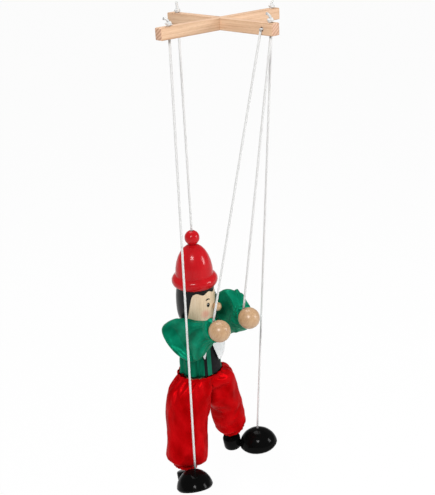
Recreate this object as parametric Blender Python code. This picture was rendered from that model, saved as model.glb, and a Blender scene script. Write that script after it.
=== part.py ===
"""A string puppet: a turned wooden figure in satin clothes, hung by five cords from a crossed control.

Lengths are in millimetres and angles in degrees. The origin is the middle of the control's top face,
the figure looks along -Y, its left hand is at +X, and +Z is up.
"""
import math

import bmesh
import bpy
from mathutils import Matrix, Vector

for old in list(bpy.data.objects):
    bpy.data.objects.remove(old, do_unlink=True)

MM = 0.001
GAP = 0.3
OVER = 1.0
POLE_ANGLE = 84.0

# Control: two strips of pine, half-lapped into a cross.
BAR_LENGTH = 125.0
BAR_WIDTH = 8.0
BAR_HEIGHT = 9.5
BAR_ROUND = 0.9
HEAD_HOLE_INSET = 9.1
LEFT_HAND_HOLE_INSET = 5.5
RIGHT_HAND_HOLE_INSET = 11.1
RIGHT_HAND_HOLE_DROP = 4.8
LEFT_FOOT_HOLE_INSET = 5.5
RIGHT_FOOT_HOLE_INSET = 10.5

# Cords, their holes and their stopper knots.
CORD = 2.0
CORD_HOLE = 3.6
CORD_SEAT = 3.0
CORD_IN_BAR = 0.8
POCKET_DEPTH = 7.0
KNOT_WIDTH = 5.4
KNOT_HEIGHT = 3.6
KNOT_TAIL = 5.0
TAIL_TURN = {"head": 4.0, "left_hand": 48.0, "right_foot": 62.0, "left_foot": -40.0, "right_hand": 30.0}
HEAD_CORD_LENGTH = 183.8

# Head, cap and neck.
KNOB = 14.0
KNOB_SEAT = 1.0
KNOB_BASE_ANGLE = 62.0
KNOB_PEG = 4.0
KNOB_PEG_LENGTH = 6.0
CAP_HEIGHT = 41.0
CAP_WIDTH = 43.0
CAP_CROWN_WIDTH = 35.0
BRIM_HEIGHT = 12.0
BRIM_START_ANGLE = 70.0
CAP_SOCKET_DEPTH = 5.0
HEAD_HEIGHT = 43.0
HEAD_WIDTH = 36.8
HEAD_TOP_WIDTH = 32.0
HEAD_WIDEST_RISE = 1.5
CHIN_WIDTH = 21.0
NECK_RECESS_WIDTH = 12.0
NECK_RECESS_DEPTH = 6.0
NOSE = 8.4
NOSE_SEAT = 1.0
NOSE_DROP = 19.0
NOSE_PEG = 3.0
NOSE_PEG_LENGTH = 5.0
HEAD_TURN = 24.0

# Torso and the screw eyes that link head, arms, legs and feet.
TORSO_HEIGHT = 55.0
TORSO_WIDTH = 34.0
TORSO_DEPTH = 26.0
SHOULDER_ROUND = 7.7
NECK_BASE_SHARE = 0.62
WAIST_SHARE = 0.9
SHOULDER_DROP = 7.0
HIP_SPREAD = 22.0
EYE_WIRE = 1.2
EYE_RADIUS = 2.6
EYE_NECK = 1.0
EYE_SHANK = 8.0
EYE_OPENING = 70.0
SHOULDER_EYE_NECK = 3.8

# Arms and hands.
ARM_LENGTH = 61.5
ARM_DOWEL = 7.5
ARM_RAISE = 30.0
ARM_INWARD = 6.6
HAND_BALL = 20.0
HAND_SOCKET = 5.0
HAND_CORD_LEAN = 0.9

# Legs and shoes.
LEG_LENGTH = 80.3
LEG_DOWEL = 8.0
LEG_SPLAY = {"right": 11.9, "left": 20.6}
LEG_SWING = {"right": 0.0, "left": -4.8}
FOOT_TURN = {"right": -21.6, "left": 41.1}
TOE_RAISE = {"right": 22.5, "left": 6.2}
FOOT_ROLL = {"right": 0.0, "left": -7.2}
HEEL_WIDTH = 18.0
HEEL_HEIGHT = 12.0
HEEL_ROUND = 1.2
TOE_LENGTH = 39.0
TOE_WIDTH = 35.0
TOE_HEIGHT = 18.0
TOE_SEAT = 1.5
TOE_CORD_REACH = {"right": 23.5, "left": 28.0}
TOE_CORD_SIDE = {"right": 4.0, "left": 4.0}

# Clothes.
JACKET_TOP_DROP = 2.2
JACKET_LENGTH = 40.0
JACKET_LOOSE = 2.2
JACKET_FLARE = 2.6
JACKET_OPENING = {"right": 8.0, "left": 18.0}
JACKET_OPENING_TOP = {"right": 6.8, "left": 14.0}
JACKET_FOLD = 0.9
VEST_OVER = 1.2
JACKET_FOLDS = 7
COLLAR_FOLD = 23.0
COLLAR_NECK = 11.0
COLLAR_OVER = 7.0
COLLAR_BACK = 4.0
COLLAR_POINT = {"right": 30.0, "left": 37.0}
COLLAR_TIP = {"right": 20.0, "left": 26.0}
COLLAR_SQUARE = {"right": 20.0, "left": 46.0}
COLLAR_FADE = {"right": 36.0, "left": 20.0}
COLLAR_CLEARANCE = 1.2
COLLAR_FOLD_SHARE = 0.7
COLLAR_THICKNESS = 1.1
WAIST_GAP = 1.5
WAIST_LOOSE = 5.5
WAIST_GATHER = 0.5
WAIST_GATHERS = 12
SEAT_DEPTH = 20.0
SEAT_ROUND = 0.8
HIP_OPENING = 16.0
LEG_CLOTH_WIDTH = {"right": 39.0, "left": 30.0}
LEG_CLOTH_DEPTH = {"right": 38.0, "left": 34.0}
LEG_CLOTH_SHIFT = {"right": 6.5, "left": 9.5}
HEM_SHIFT = {"right": 0.0, "left": 2.5}
LEG_FOLD = 0.035
LEG_FOLDS = 5
HEM_CLEARANCE = {"right": 1.0, "left": 10.0}
CUFF_WIDTH = 22.0
CUFF_HEIGHT = 13.0
CUFF_PLEAT = 0.05
CUFF_PLEATS = 9
FRILL_HEIGHT = 4.0
FRILL_FLARE = 0.14
SLEEVE_OVER_HAND = 3.5
SLEEVE_BACK = 10.0
SLEEVE_OUT = {"right": 12.5, "left": 15.0}
SLEEVE_IN = 4.4
SLEEVE_UP = {"right": 23.5, "left": 34.0}
SLEEVE_DOWN = {"right": 12.0, "left": 7.0}
SLEEVE_FULL_TO = {"right": 0.30, "left": 0.74}
SLEEVE_BOX = 0.8
SLEEVE_PUFF_SHARE = 0.25
SLEEVE_CUFF_SHARE = 0.9
CUFF_OUT = 9.5
CUFF_IN = 8.5
CUFF_UP = 12.5
CUFF_DOWN = 7.5
SLEEVE_PLEAT = 0.06
SLEEVE_PLEATS = 7

# Places that follow from the sizes above.
SIDES = {"right": -1, "left": 1}
HALF_BAR = BAR_LENGTH / 2
CORD_TOP = CORD_IN_BAR - BAR_HEIGHT
FIGURE_Y = HALF_BAR - HEAD_HOLE_INSET
CAP_TOP = -BAR_HEIGHT - HEAD_CORD_LENGTH
CROWN_TOP = CAP_TOP - KNOB + KNOB_SEAT
BRIM_BOTTOM = CROWN_TOP - CAP_HEIGHT
HEAD_TOP = BRIM_BOTTOM + CAP_SOCKET_DEPTH - GAP
HEAD_BOTTOM = HEAD_TOP - HEAD_HEIGHT
HEAD_WIDEST = (HEAD_TOP + HEAD_BOTTOM) / 2 + HEAD_WIDEST_RISE
EYE_REACH = EYE_NECK + EYE_WIRE / 2 + 2 * EYE_RADIUS
EYE_LINK = EYE_WIRE + GAP
NECK_LINK = HEAD_BOTTOM + NECK_RECESS_DEPTH - EYE_REACH
TORSO_TOP = NECK_LINK + EYE_LINK - EYE_REACH
TORSO_BOTTOM = TORSO_TOP - TORSO_HEIGHT
SHOULDER_LEVEL = TORSO_TOP - SHOULDER_DROP
SHOULDER_X = TORSO_WIDTH / 2 + SHOULDER_EYE_NECK + EYE_WIRE / 2 + EYE_RADIUS
SHOULDER_Z = SHOULDER_LEVEL - EYE_RADIUS
HIP_Z = TORSO_BOTTOM - EYE_REACH
LIMB_START = EYE_REACH - EYE_LINK
HAND_START = ARM_LENGTH - HAND_BALL / 2
SOLE = LIMB_START + HEEL_HEIGHT
JACKET_TOP = TORSO_TOP - JACKET_TOP_DROP
JACKET_HEM = JACKET_TOP - JACKET_LENGTH
WAIST = JACKET_HEM - WAIST_GAP
SEAT_BOTTOM = WAIST - SEAT_DEPTH
SLEEVE_LENGTH = HAND_START + SLEEVE_OVER_HAND
CUTTER_REACH = 3 * TORSO_HEIGHT


def material(name, colour, roughness, metallic=0.0):
    made = bpy.data.materials.new(name)
    made.use_nodes = True
    shader = made.node_tree.nodes["Principled BSDF"]
    shader.inputs["Base Color"].default_value = (*colour, 1.0)
    shader.inputs["Roughness"].default_value = roughness
    shader.inputs["Metallic"].default_value = metallic
    made.diffuse_color = (*colour, 1.0)
    return made


PINE = material("pine", (0.74, 0.50, 0.27), 0.55)
BEECH = material("beech", (0.72, 0.47, 0.26), 0.5)
CAP_PAINT = material("red_gloss_paint", (0.55, 0.01, 0.015), 0.2)
SHOE_PAINT = material("black_gloss_paint", (0.01, 0.01, 0.01), 0.2)
VEST_CLOTH = material("striped_cloth", (0.02, 0.10, 0.06), 0.7)
GREEN_SATIN = material("green_satin", (0.0, 0.22, 0.12), 0.4)
RED_SATIN = material("red_satin", (0.55, 0.01, 0.02), 0.4)
WHITE_COTTON = material("white_cotton", (0.85, 0.85, 0.85), 0.9)
CORD_COTTON = material("white_cord", (0.85, 0.85, 0.83), 0.9)
STEEL = material("steel_wire", (0.55, 0.55, 0.55), 0.35, 1.0)


def turn_about(axis, angle):
    return Matrix.Rotation(math.radians(angle), 3, axis)


def pivot(name, place, turn=None, parent=None):
    """An empty on a joint's axis; the pieces of a moving body hang on it."""
    empty = bpy.data.objects.new(name, None)
    bpy.context.scene.collection.objects.link(empty)
    basis = Matrix.Translation(Vector(place) * MM)
    if turn is not None:
        basis = basis @ turn.to_4x4()
    empty.parent = parent
    empty.matrix_local = basis
    return empty


def mesh_object(name, points, faces, finish, parent=None, smooth=True, sheet=False):
    """A mesh from points in its parent's frame; with no finish it is a cutter; a sheet stays open."""
    work = bmesh.new()
    corners = [work.verts.new(Vector(point) * MM) for point in points]
    for face in faces:
        work.faces.new([corners[index] for index in face])
    if not sheet:
        bmesh.ops.recalc_face_normals(work, faces=work.faces)
    mesh = bpy.data.meshes.new(name)
    work.to_mesh(mesh)
    work.free()
    if smooth:
        mesh.shade_smooth()
        mesh.set_sharp_from_angle(angle=math.radians(40))
    made = bpy.data.objects.new(name, mesh)
    bpy.context.scene.collection.objects.link(made)
    made.parent = parent
    if finish is None:
        made.hide_render = True
        made.display_type = "WIRE"
    else:
        mesh.materials.append(finish)
    return made


def loft(name, rings, finish, parent=None):
    """Rings of equally many points, skinned in order and closed at both ends."""
    count = len(rings[0])
    points = [point for ring in rings for point in ring]
    faces = []
    for level in range(len(rings) - 1):
        low = level * count
        for side in range(count):
            after = (side + 1) % count
            faces.append((low + side, low + count + side, low + count + after, low + after))
    faces.append(tuple(range(count)))
    last = (len(rings) - 1) * count
    faces.append(tuple(range(last + count - 1, last - 1, -1)))
    return mesh_object(name, points, faces, finish, parent)


def oval(z, half_x, half_y, count, middle=(0.0, 0.0)):
    """One level ring of a loft."""
    ring = []
    for step in range(count):
        angle = 2 * math.pi * step / count
        ring.append((middle[0] + half_x * math.cos(angle), middle[1] + half_y * math.sin(angle), z))
    return ring


def turned(name, profile, finish, parent=None, count=24):
    """A lathe piece from (radius, z) pairs that run from top to bottom."""
    return loft(name, [oval(z, radius, radius, count) for radius, z in profile], finish, parent)


def arc(centre, radius, start, end, steps):
    """Points (radius, z) on a round stretch of a lathe profile; angles from +X, in degrees."""
    found = []
    for step in range(steps + 1):
        angle = math.radians(start + (end - start) * step / steps)
        found.append((centre[0] + radius * math.cos(angle), centre[1] + radius * math.sin(angle)))
    return found


def ball_profile(radius, middle, steps, end=-POLE_ANGLE):
    """A ball's profile; its first ring lies just beside the pole."""
    return arc((0.0, middle), radius, POLE_ANGLE, end, steps)


def box(name, low, high, finish, parent=None):
    points = [(x, y, z) for x in (low[0], high[0]) for y in (low[1], high[1]) for z in (low[2], high[2])]
    faces = [(0, 1, 3, 2), (4, 6, 7, 5), (0, 4, 5, 1), (2, 3, 7, 6), (0, 2, 6, 4), (1, 5, 7, 3)]
    return mesh_object(name, points, faces, finish, parent, smooth=False)


def rod(name, start, end, diameter, finish, parent=None, count=16):
    """A straight round rod between two points."""
    start = Vector(start)
    end = Vector(end)
    turn = (end - start).to_track_quat("Z", "Y").to_matrix()
    rings = []
    for place in (start, end):
        ring = oval(0.0, diameter / 2, diameter / 2, count)
        rings.append([place + turn @ Vector(point) for point in ring])
    return loft(name, rings, finish, parent)


def cut(target, cutter, operation="DIFFERENCE"):
    change = target.modifiers.new(cutter.name, "BOOLEAN")
    change.operation = operation
    change.solver = "EXACT"
    change.object = cutter


def drill(target, start, end, diameter, parent=None, count=12):
    cut(target, rod(target.name + ".drill", start, end, diameter, None, parent, count))


def round_edges(target, width):
    """Rounded edges, ahead of any cut."""
    change = target.modifiers.new("rounded_edges", "BEVEL")
    change.width = width * MM
    change.segments = 2


def tube(name, points, diameter, finish, parent=None, fineness=2):
    """A wire or cord along a list of points."""
    curve = bpy.data.curves.new(name, "CURVE")
    curve.dimensions = "3D"
    curve.bevel_depth = diameter / 2 * MM
    curve.bevel_resolution = fineness
    curve.use_fill_caps = True
    spline = curve.splines.new("POLY")
    spline.points.add(len(points) - 1)
    for slot, point in zip(spline.points, points):
        slot.co = (*(Vector(point) * MM), 1.0)
    curve.materials.append(finish)
    made = bpy.data.objects.new(name, curve)
    bpy.context.scene.collection.objects.link(made)
    made.parent = parent
    return made


def screw_eye(name, wood, base, inward, side, parent, neck=EYE_NECK):
    """A bent wire eye whose shank is screwed into the wood at base; side lies in the ring's plane."""
    base = Vector(base)
    inward = Vector(inward)
    side = Vector(side)
    centre = base - inward * (neck + EYE_WIRE / 2 + EYE_RADIUS)
    points = [base + inward * EYE_SHANK, base, base - inward * (neck / 2)]
    steps = 10
    for step in range(steps + 1):
        angle = math.radians(90 - EYE_OPENING / 2 - (360 - EYE_OPENING) * step / steps)
        points.append(centre + (side * math.cos(angle) + inward * math.sin(angle)) * EYE_RADIUS)
    drill(wood, base - inward * OVER, base + inward * (EYE_SHANK + GAP), EYE_WIRE + 2 * GAP, parent, 8)
    return tube(name, points, EYE_WIRE, STEEL, parent, 1)


def smooth_step(share):
    share = min(max(share, 0.0), 1.0)
    return share * share * (3 - 2 * share)


# Control

def lap_cutter(name, low_z, high_z):
    half = BAR_WIDTH / 2 + GAP
    return box(name, (-half, -half, low_z), (half, half, high_z), None)


half_width = BAR_WIDTH / 2
cross_bar = box("cross_bar", (-HALF_BAR, -half_width, -BAR_HEIGHT), (HALF_BAR, half_width, 0.0), PINE)
round_edges(cross_bar, BAR_ROUND)
cut(cross_bar, lap_cutter("cross_bar.lap", -BAR_HEIGHT - OVER, -BAR_HEIGHT / 2 + GAP / 2))
spine_bar = box("spine_bar", (-half_width, -HALF_BAR, -BAR_HEIGHT), (half_width, HALF_BAR, 0.0), PINE)
round_edges(spine_bar, BAR_ROUND)
cut(spine_bar, lap_cutter("spine_bar.lap", -BAR_HEIGHT / 2 - GAP / 2, OVER))


def stopper_knot(name, base, outward, stub, tail_turn, count=8):
    """A knotted cord end: it runs through the hole, swells into a knot outside and ends in a short tail."""
    turn = Vector(outward).to_track_quat("Z", "Y").to_matrix()
    lean = math.radians(tail_turn)
    stations = [(CORD / 2, Vector((0, 0, -stub))), (CORD / 2, Vector((0, 0, 0)))]
    for share in (0.02, 0.15, 0.32, 0.5, 0.68, 0.85, 0.97):
        swell = (KNOT_WIDTH - CORD) / 2 * math.sin(math.pi * share)
        stations.append((CORD / 2 + swell, Vector((0, 0, GAP + KNOT_HEIGHT * share))))
    for share in (0.4, 1.0):
        tail = Vector((math.sin(lean), 0, math.cos(lean))) * KNOT_TAIL * share
        stations.append((CORD / 2, Vector((0, 0, GAP + KNOT_HEIGHT)) + tail))
    rings = []
    for radius, middle in stations:
        ring = oval(0.0, radius, radius, count)
        rings.append([Vector(base) + turn @ (middle + Vector(point)) for point in ring])
    return loft(name, rings, CORD_COTTON)


UPRIGHT_HOLES = {
    "head": (spine_bar, 0.0, FIGURE_Y),
    "left_hand": (spine_bar, 0.0, -HALF_BAR + LEFT_HAND_HOLE_INSET),
    "right_foot": (cross_bar, -HALF_BAR + RIGHT_FOOT_HOLE_INSET, 0.0),
    "left_foot": (cross_bar, HALF_BAR - LEFT_FOOT_HOLE_INSET, 0.0),
}
cord_starts = {}
for owner, (bar, x, y) in UPRIGHT_HOLES.items():
    drill(bar, (x, y, OVER), (x, y, -BAR_HEIGHT - OVER), CORD_HOLE)
    stopper_knot(owner + "_knot", (x, y, 0.0), (0, 0, 1), -CORD_TOP - GAP, TAIL_TURN[owner])
    cord_starts[owner] = Vector((x, y, CORD_TOP))

side_hole_y = -HALF_BAR + RIGHT_HAND_HOLE_INSET
side_hole_z = -RIGHT_HAND_HOLE_DROP
drill(spine_bar, (-half_width - OVER, side_hole_y, side_hole_z),
      (half_width + OVER, side_hole_y, side_hole_z), CORD_HOLE)
stopper_knot("right_hand_knot", (half_width, side_hole_y, side_hole_z), (1, 0, 0), BAR_WIDTH + CORD,
             TAIL_TURN["right_hand"])
below_stub = CORD / 2 + GAP
cord_starts["right_hand"] = Vector((-half_width - below_stub, side_hole_y, side_hole_z - below_stub))

# Head, cap and nose

head_pivot = pivot("head_pivot", (0.0, FIGURE_Y, 0.0), turn_about("Z", HEAD_TURN))


def head_radius(z):
    """Barrel-shaped head: widest a little above its middle, round at the chin."""
    if z > HEAD_WIDEST:
        share = (z - HEAD_WIDEST) / (HEAD_TOP - HEAD_WIDEST)
        return HEAD_WIDTH / 2 - (HEAD_WIDTH - HEAD_TOP_WIDTH) / 2 * share ** 2
    share = (HEAD_WIDEST - z) / (HEAD_WIDEST - HEAD_BOTTOM)
    return CHIN_WIDTH / 2 + (HEAD_WIDTH - CHIN_WIDTH) / 2 * math.sqrt(1 - min(share, 1.0) ** 2.6)


HEAD_LEVELS = 12
head_profile = []
for step in range(HEAD_LEVELS + 1):
    level = HEAD_TOP - HEAD_HEIGHT * step / HEAD_LEVELS
    head_profile.append((head_radius(level), level))
head = turned("head", head_profile, BEECH, head_pivot)
recess_top = HEAD_BOTTOM + NECK_RECESS_DEPTH
drill(head, (0, 0, HEAD_BOTTOM - OVER), (0, 0, recess_top), NECK_RECESS_WIDTH, head_pivot, 16)
screw_eye("head_eye", head, (0, 0, recess_top), (0, 0, 1), (1, 0, 0), head_pivot)

brim_roll = BRIM_HEIGHT / 2
crown_base = BRIM_BOTTOM + BRIM_HEIGHT
crown_rise = CROWN_TOP - crown_base
CROWN_STEPS = 7
cap_profile = []
for step in range(CROWN_STEPS + 1):
    lean = math.radians(POLE_ANGLE * (1 - step / CROWN_STEPS))
    cap_profile.append((CAP_CROWN_WIDTH / 2 * math.cos(lean), crown_base + crown_rise * math.sin(lean)))
cap_profile += arc((CAP_WIDTH / 2 - brim_roll, BRIM_BOTTOM + brim_roll), brim_roll,
                   BRIM_START_ANGLE, -90, 6)
cap = turned("cap", cap_profile, CAP_PAINT, head_pivot, 28)
cap_socket = [(HEAD_TOP_WIDTH / 2 + GAP, HEAD_TOP + GAP),
              (head_radius(BRIM_BOTTOM) + GAP, BRIM_BOTTOM - OVER)]
cut(cap, turned("cap.socket", cap_socket, None, head_pivot))
knob_base = crown_base + crown_rise * math.sin(math.radians(POLE_ANGLE)) + GAP
knob_profile = ball_profile(KNOB / 2, CAP_TOP - KNOB / 2, 8, -KNOB_BASE_ANGLE)
knob_profile += [(KNOB_PEG / 2, knob_base), (KNOB_PEG / 2, CROWN_TOP - KNOB_PEG_LENGTH)]
knob = turned("cap_knob", knob_profile, CAP_PAINT, head_pivot, 20)
drill(cap, (0, 0, CROWN_TOP + OVER), (0, 0, CROWN_TOP - KNOB_PEG_LENGTH - GAP), KNOB_PEG + 2 * GAP,
      head_pivot)
drill(knob, (0, 0, CAP_TOP + OVER), (0, 0, CAP_TOP - POCKET_DEPTH), CORD_HOLE, head_pivot)

nose_z = BRIM_BOTTOM - NOSE_DROP
nose_face = head_radius(nose_z)
nose_pivot = pivot("nose_pivot", (0, 0, nose_z), turn_about("X", 90), head_pivot)
nose = turned("nose", ball_profile(NOSE / 2, nose_face + NOSE / 2 - NOSE_SEAT, 8), BEECH, nose_pivot, 16)
nose_seat = [(radius + GAP, level) for radius, level in head_profile]
cut(nose, turned("nose.seat", nose_seat, None, head_pivot))
nose_peg = rod("nose.peg", (0, 0, nose_face + NOSE / 2), (0, 0, nose_face - NOSE_PEG_LENGTH), NOSE_PEG, None,
               nose_pivot)
cut(nose, nose_peg, "UNION")
drill(head, (0, -nose_face - OVER, nose_z), (0, -nose_face + NOSE_PEG_LENGTH + GAP, nose_z),
      NOSE_PEG + 2 * GAP, head_pivot)

# Torso

torso_pivot = pivot("torso_pivot", (0.0, FIGURE_Y, 0.0))


def torso_share(z):
    """Half size of the torso at a level, as a share of its full half size."""
    drop = TORSO_TOP - z
    round_part = math.sqrt(max(0.0, 1 - (1 - min(drop / SHOULDER_ROUND, 1.0)) ** 2))
    shoulder = NECK_BASE_SHARE + (1 - NECK_BASE_SHARE) * round_part
    return shoulder * (1 - (1 - WAIST_SHARE) * smooth_step((drop / TORSO_HEIGHT - 0.25) / 0.6))


def torso_rings(grow=0.0, over=0.0, count=24):
    """The torso's rings, grown by a clearance and lengthened at both ends for use as a cutter."""
    rings = []
    steps = 11
    for step in range(steps + 1):
        z = TORSO_TOP - TORSO_HEIGHT * (step / steps) ** 1.4
        scale = torso_share(z)
        rings.append(oval(z, TORSO_WIDTH / 2 * scale + grow, TORSO_DEPTH / 2 * scale + grow, count))
    if over:
        rings.insert(0, [(x, y, z + over) for x, y, z in rings[0]])
        rings.append([(x, y, z - over) for x, y, z in rings[-1]])
    return rings


torso = loft("torso_block", torso_rings(), BEECH, torso_pivot)
screw_eye("neck_eye", torso, (0, 0, TORSO_TOP), (0, 0, -1), (0, 1, 0), torso_pivot)
for side, sign in SIDES.items():
    shoulder_face = TORSO_WIDTH / 2 * torso_share(SHOULDER_LEVEL)
    screw_eye(side + "_shoulder_eye", torso, (sign * shoulder_face, 0, SHOULDER_LEVEL), (-sign, 0, 0),
              (0, 0, 1), torso_pivot, SHOULDER_EYE_NECK + TORSO_WIDTH / 2 - shoulder_face)
    screw_eye(side + "_hip_eye", torso, (sign * HIP_SPREAD / 2, 0, TORSO_BOTTOM), (0, 0, 1), (1, 0, 0),
              torso_pivot)

# Jacket, open at the front, with the folds of a loose hem


def jacket_half(z, torso_half):
    """Half size of the jacket at a level, before its folds."""
    share = (JACKET_TOP - z) / JACKET_LENGTH
    return torso_half * torso_share(z) + JACKET_LOOSE + JACKET_FLARE * max(0.0, share) ** 1.6


def jacket_ring(z, grow=0.0, count=36):
    share = (JACKET_TOP - z) / JACKET_LENGTH
    ring = []
    for step in range(count):
        angle = 2 * math.pi * step / count
        fold = JACKET_FOLD * max(0.0, share) ** 1.5 * math.cos(JACKET_FOLDS * angle) + grow
        ring.append(((jacket_half(z, TORSO_WIDTH / 2) + fold) * math.cos(angle),
                     (jacket_half(z, TORSO_DEPTH / 2) + fold) * math.sin(angle), z))
    return ring


jacket_levels = [JACKET_TOP - JACKET_LENGTH * share for share in (0, 0.05, 0.12, 0.35, 0.65, 1)]
jacket = loft("jacket", [jacket_ring(z) for z in jacket_levels], GREEN_SATIN, torso_pivot)
jacket_inside = loft("jacket.inside", torso_rings(GAP, JACKET_TOP_DROP), None, torso_pivot)
cut(jacket, jacket_inside)


def front_opening(name, clearance):
    """What the open front leaves free, less a clearance at both edges."""
    rings = []
    for opening, z in ((JACKET_OPENING_TOP, JACKET_TOP + OVER), (JACKET_OPENING, JACKET_HEM - OVER)):
        right = clearance - opening["right"]
        left = opening["left"] - clearance
        corners = ((right, -TORSO_DEPTH), (left, -TORSO_DEPTH), (left, -clearance), (right, -clearance))
        rings.append([(x, y, z) for x, y in corners])
    return loft(name, rings, None, torso_pivot)


cut(jacket, front_opening("jacket.opening", 0.0))
vest_levels = jacket_levels[2:]
vest = loft("vest", [jacket_ring(z, VEST_OVER) for z in vest_levels], VEST_CLOTH, torso_pivot)
cut(vest, jacket_inside)
cut(vest, front_opening("vest.panel", GAP), "INTERSECT")
for side, sign in SIDES.items():
    drill(jacket, (sign * TORSO_WIDTH / 4, 0, SHOULDER_LEVEL), (sign * TORSO_WIDTH, 0, SHOULDER_LEVEL),
          EYE_WIRE + 4 * GAP, torso_pivot)

# Collar: a turned-down ring with two points at the front


def collar_reach(angle):
    """How far the collar runs past its fold, longest at the two front flaps; -90 degrees is the front."""
    turn = (math.degrees(angle) + 90 + 180) % 360 - 180
    side = "left" if turn > 0 else "right"
    rise = min(abs(turn) / COLLAR_TIP[side], 1.0)
    fall = 1 - smooth_step((abs(turn) - COLLAR_SQUARE[side]) / COLLAR_FADE[side])
    return COLLAR_BACK + (COLLAR_POINT[side] - COLLAR_BACK) * rise * fall


def collar_place(angle, along):
    """A point of the collar: flat at the neck, over the jacket's edge, then down outside the jacket."""
    top = TORSO_TOP + GAP
    edge = JACKET_TOP + 2 * GAP
    folds = (COLLAR_FOLD / 2, COLLAR_FOLD / 2 * TORSO_DEPTH / TORSO_WIDTH)
    shares = (math.cos(angle), math.sin(angle))
    if along < 0:
        rims = [COLLAR_NECK / 2 + (fold - COLLAR_NECK / 2) * (1 + along) for fold in folds]
        return (rims[0] * shares[0], rims[1] * shares[1], top)
    over = smooth_step(along / COLLAR_OVER)
    level = top + (edge - top) * over - max(0.0, along - COLLAR_OVER)
    place = []
    for torso_half, fold, share in zip((TORSO_WIDTH / 2, TORSO_DEPTH / 2), folds, shares):
        outside = jacket_half(min(level, JACKET_TOP), torso_half) + JACKET_FOLD + COLLAR_CLEARANCE
        place.append((fold + (outside - fold) * over) * share)
    return (*place, level)


COLLAR_COUNT = 60
COLLAR_OVER_SHARES = (0.0, 0.3, 0.6, 1.0)
COLLAR_DOWN_SHARES = (0.12, 0.25, 0.6, 1.0)


def collar_line(angle):
    """Points of the collar from the neck outwards: the fold first, then the part that hangs down."""
    reach = collar_reach(angle)
    fold = min(COLLAR_FOLD_SHARE * reach, COLLAR_OVER)
    places = [-1.0] + [fold * share for share in COLLAR_OVER_SHARES]
    places += [fold + (reach - fold) * share for share in COLLAR_DOWN_SHARES]
    return [collar_place(angle, along) for along in places]


collar_points = []
collar_faces = []
for step in range(COLLAR_COUNT):
    angle = 2 * math.pi * step / COLLAR_COUNT - math.pi / 2
    collar_points += collar_line(angle)
collar_rows = len(collar_points) // COLLAR_COUNT
for step in range(COLLAR_COUNT):
    after = (step + 1) % COLLAR_COUNT
    for row in range(collar_rows - 1):
        low = step * collar_rows + row
        high = after * collar_rows + row
        collar_faces.append((low, low + 1, high + 1, high))
collar = mesh_object("collar", collar_points, collar_faces, WHITE_COTTON, torso_pivot, sheet=True)
thick = collar.modifiers.new("cloth_thickness", "SOLIDIFY")
thick.thickness = COLLAR_THICKNESS * MM
thick.offset = 1.0

# Trouser seat, gathered at the waist


def seat_half_width(side):
    """How far the trousers reach sideways where the legs begin."""
    lean = math.tan(math.radians(LEG_SPLAY[side])) * (HIP_Z - SEAT_BOTTOM)
    return HIP_SPREAD / 2 + lean + LEG_CLOTH_SHIFT[side] + LEG_CLOTH_WIDTH[side] / 2


def seat_ring(z, count=36):
    share = (WAIST - z) / SEAT_DEPTH
    full = math.sin(math.pi / 2 * share) ** SEAT_ROUND
    scale = torso_share(max(z, TORSO_BOTTOM))
    depth = (LEG_CLOTH_DEPTH["right"] + LEG_CLOTH_DEPTH["left"]) / 4
    ring = []
    for step in range(count):
        angle = 2 * math.pi * step / count
        gather = WAIST_LOOSE + WAIST_GATHER * (1 - share) * math.cos(WAIST_GATHERS * angle)
        waist_x = TORSO_WIDTH / 2 * scale + gather
        waist_y = TORSO_DEPTH / 2 * scale + gather
        wide = seat_half_width("left" if math.cos(angle) > 0 else "right")
        half_x = waist_x + (wide - waist_x) * full
        half_y = waist_y + (depth - waist_y) * full
        ring.append((half_x * math.cos(angle), half_y * math.sin(angle), z))
    return ring


seat_levels = [WAIST - SEAT_DEPTH * share for share in (0, 0.12, 0.3, 0.5, 0.75, 1)]
seat = loft("trouser_seat", [seat_ring(z) for z in seat_levels], RED_SATIN, torso_pivot)
cut(seat, loft("trouser_seat.inside", torso_rings(GAP, EYE_NECK), None, torso_pivot))
for side, sign in SIDES.items():
    drill(seat, (sign * HIP_SPREAD / 2, 0, TORSO_BOTTOM), (sign * HIP_SPREAD / 2, 0, SEAT_BOTTOM - OVER),
          HIP_OPENING, torso_pivot, 16)

# Arms


def sleeve_ring(along, side, count=28):
    """One ring of a puffed sleeve: full at the shoulder, hanging off the arm, drawn in at the wrist."""
    share = (along + SLEEVE_BACK) / (SLEEVE_LENGTH + SLEEVE_BACK)
    puff = math.sqrt(max(0.0, 1 - (1 - min(share / SLEEVE_PUFF_SHARE, 1.0)) ** 2))
    taper = smooth_step((share - SLEEVE_FULL_TO[side]) / (SLEEVE_CUFF_SHARE - SLEEVE_FULL_TO[side]))
    frill = 1 + FRILL_FLARE * smooth_step((share - SLEEVE_CUFF_SHARE) / (1 - SLEEVE_CUFF_SHARE))
    sizes = ((SLEEVE_OUT[side], CUFF_OUT), (SLEEVE_IN, CUFF_IN), (SLEEVE_UP[side], CUFF_UP),
             (SLEEVE_DOWN[side], CUFF_DOWN))
    out, body_side, up, down = [puff * (full * (1 - taper) + cuff * taper) for full, cuff in sizes]
    ring = []
    for step in range(count):
        angle = 2 * math.pi * step / count
        x, y = [math.copysign(abs(part) ** SLEEVE_BOX, part) for part in (math.cos(angle), math.sin(angle))]
        pleat = frill * (1 + SLEEVE_PLEAT * math.cos(SLEEVE_PLEATS * angle))
        half_x = out if x * SIDES[side] > 0 else body_side
        ring.append((half_x * x * pleat, (down - up) / 2 + (down + up) / 2 * y * pleat, -along))
    return ring


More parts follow.
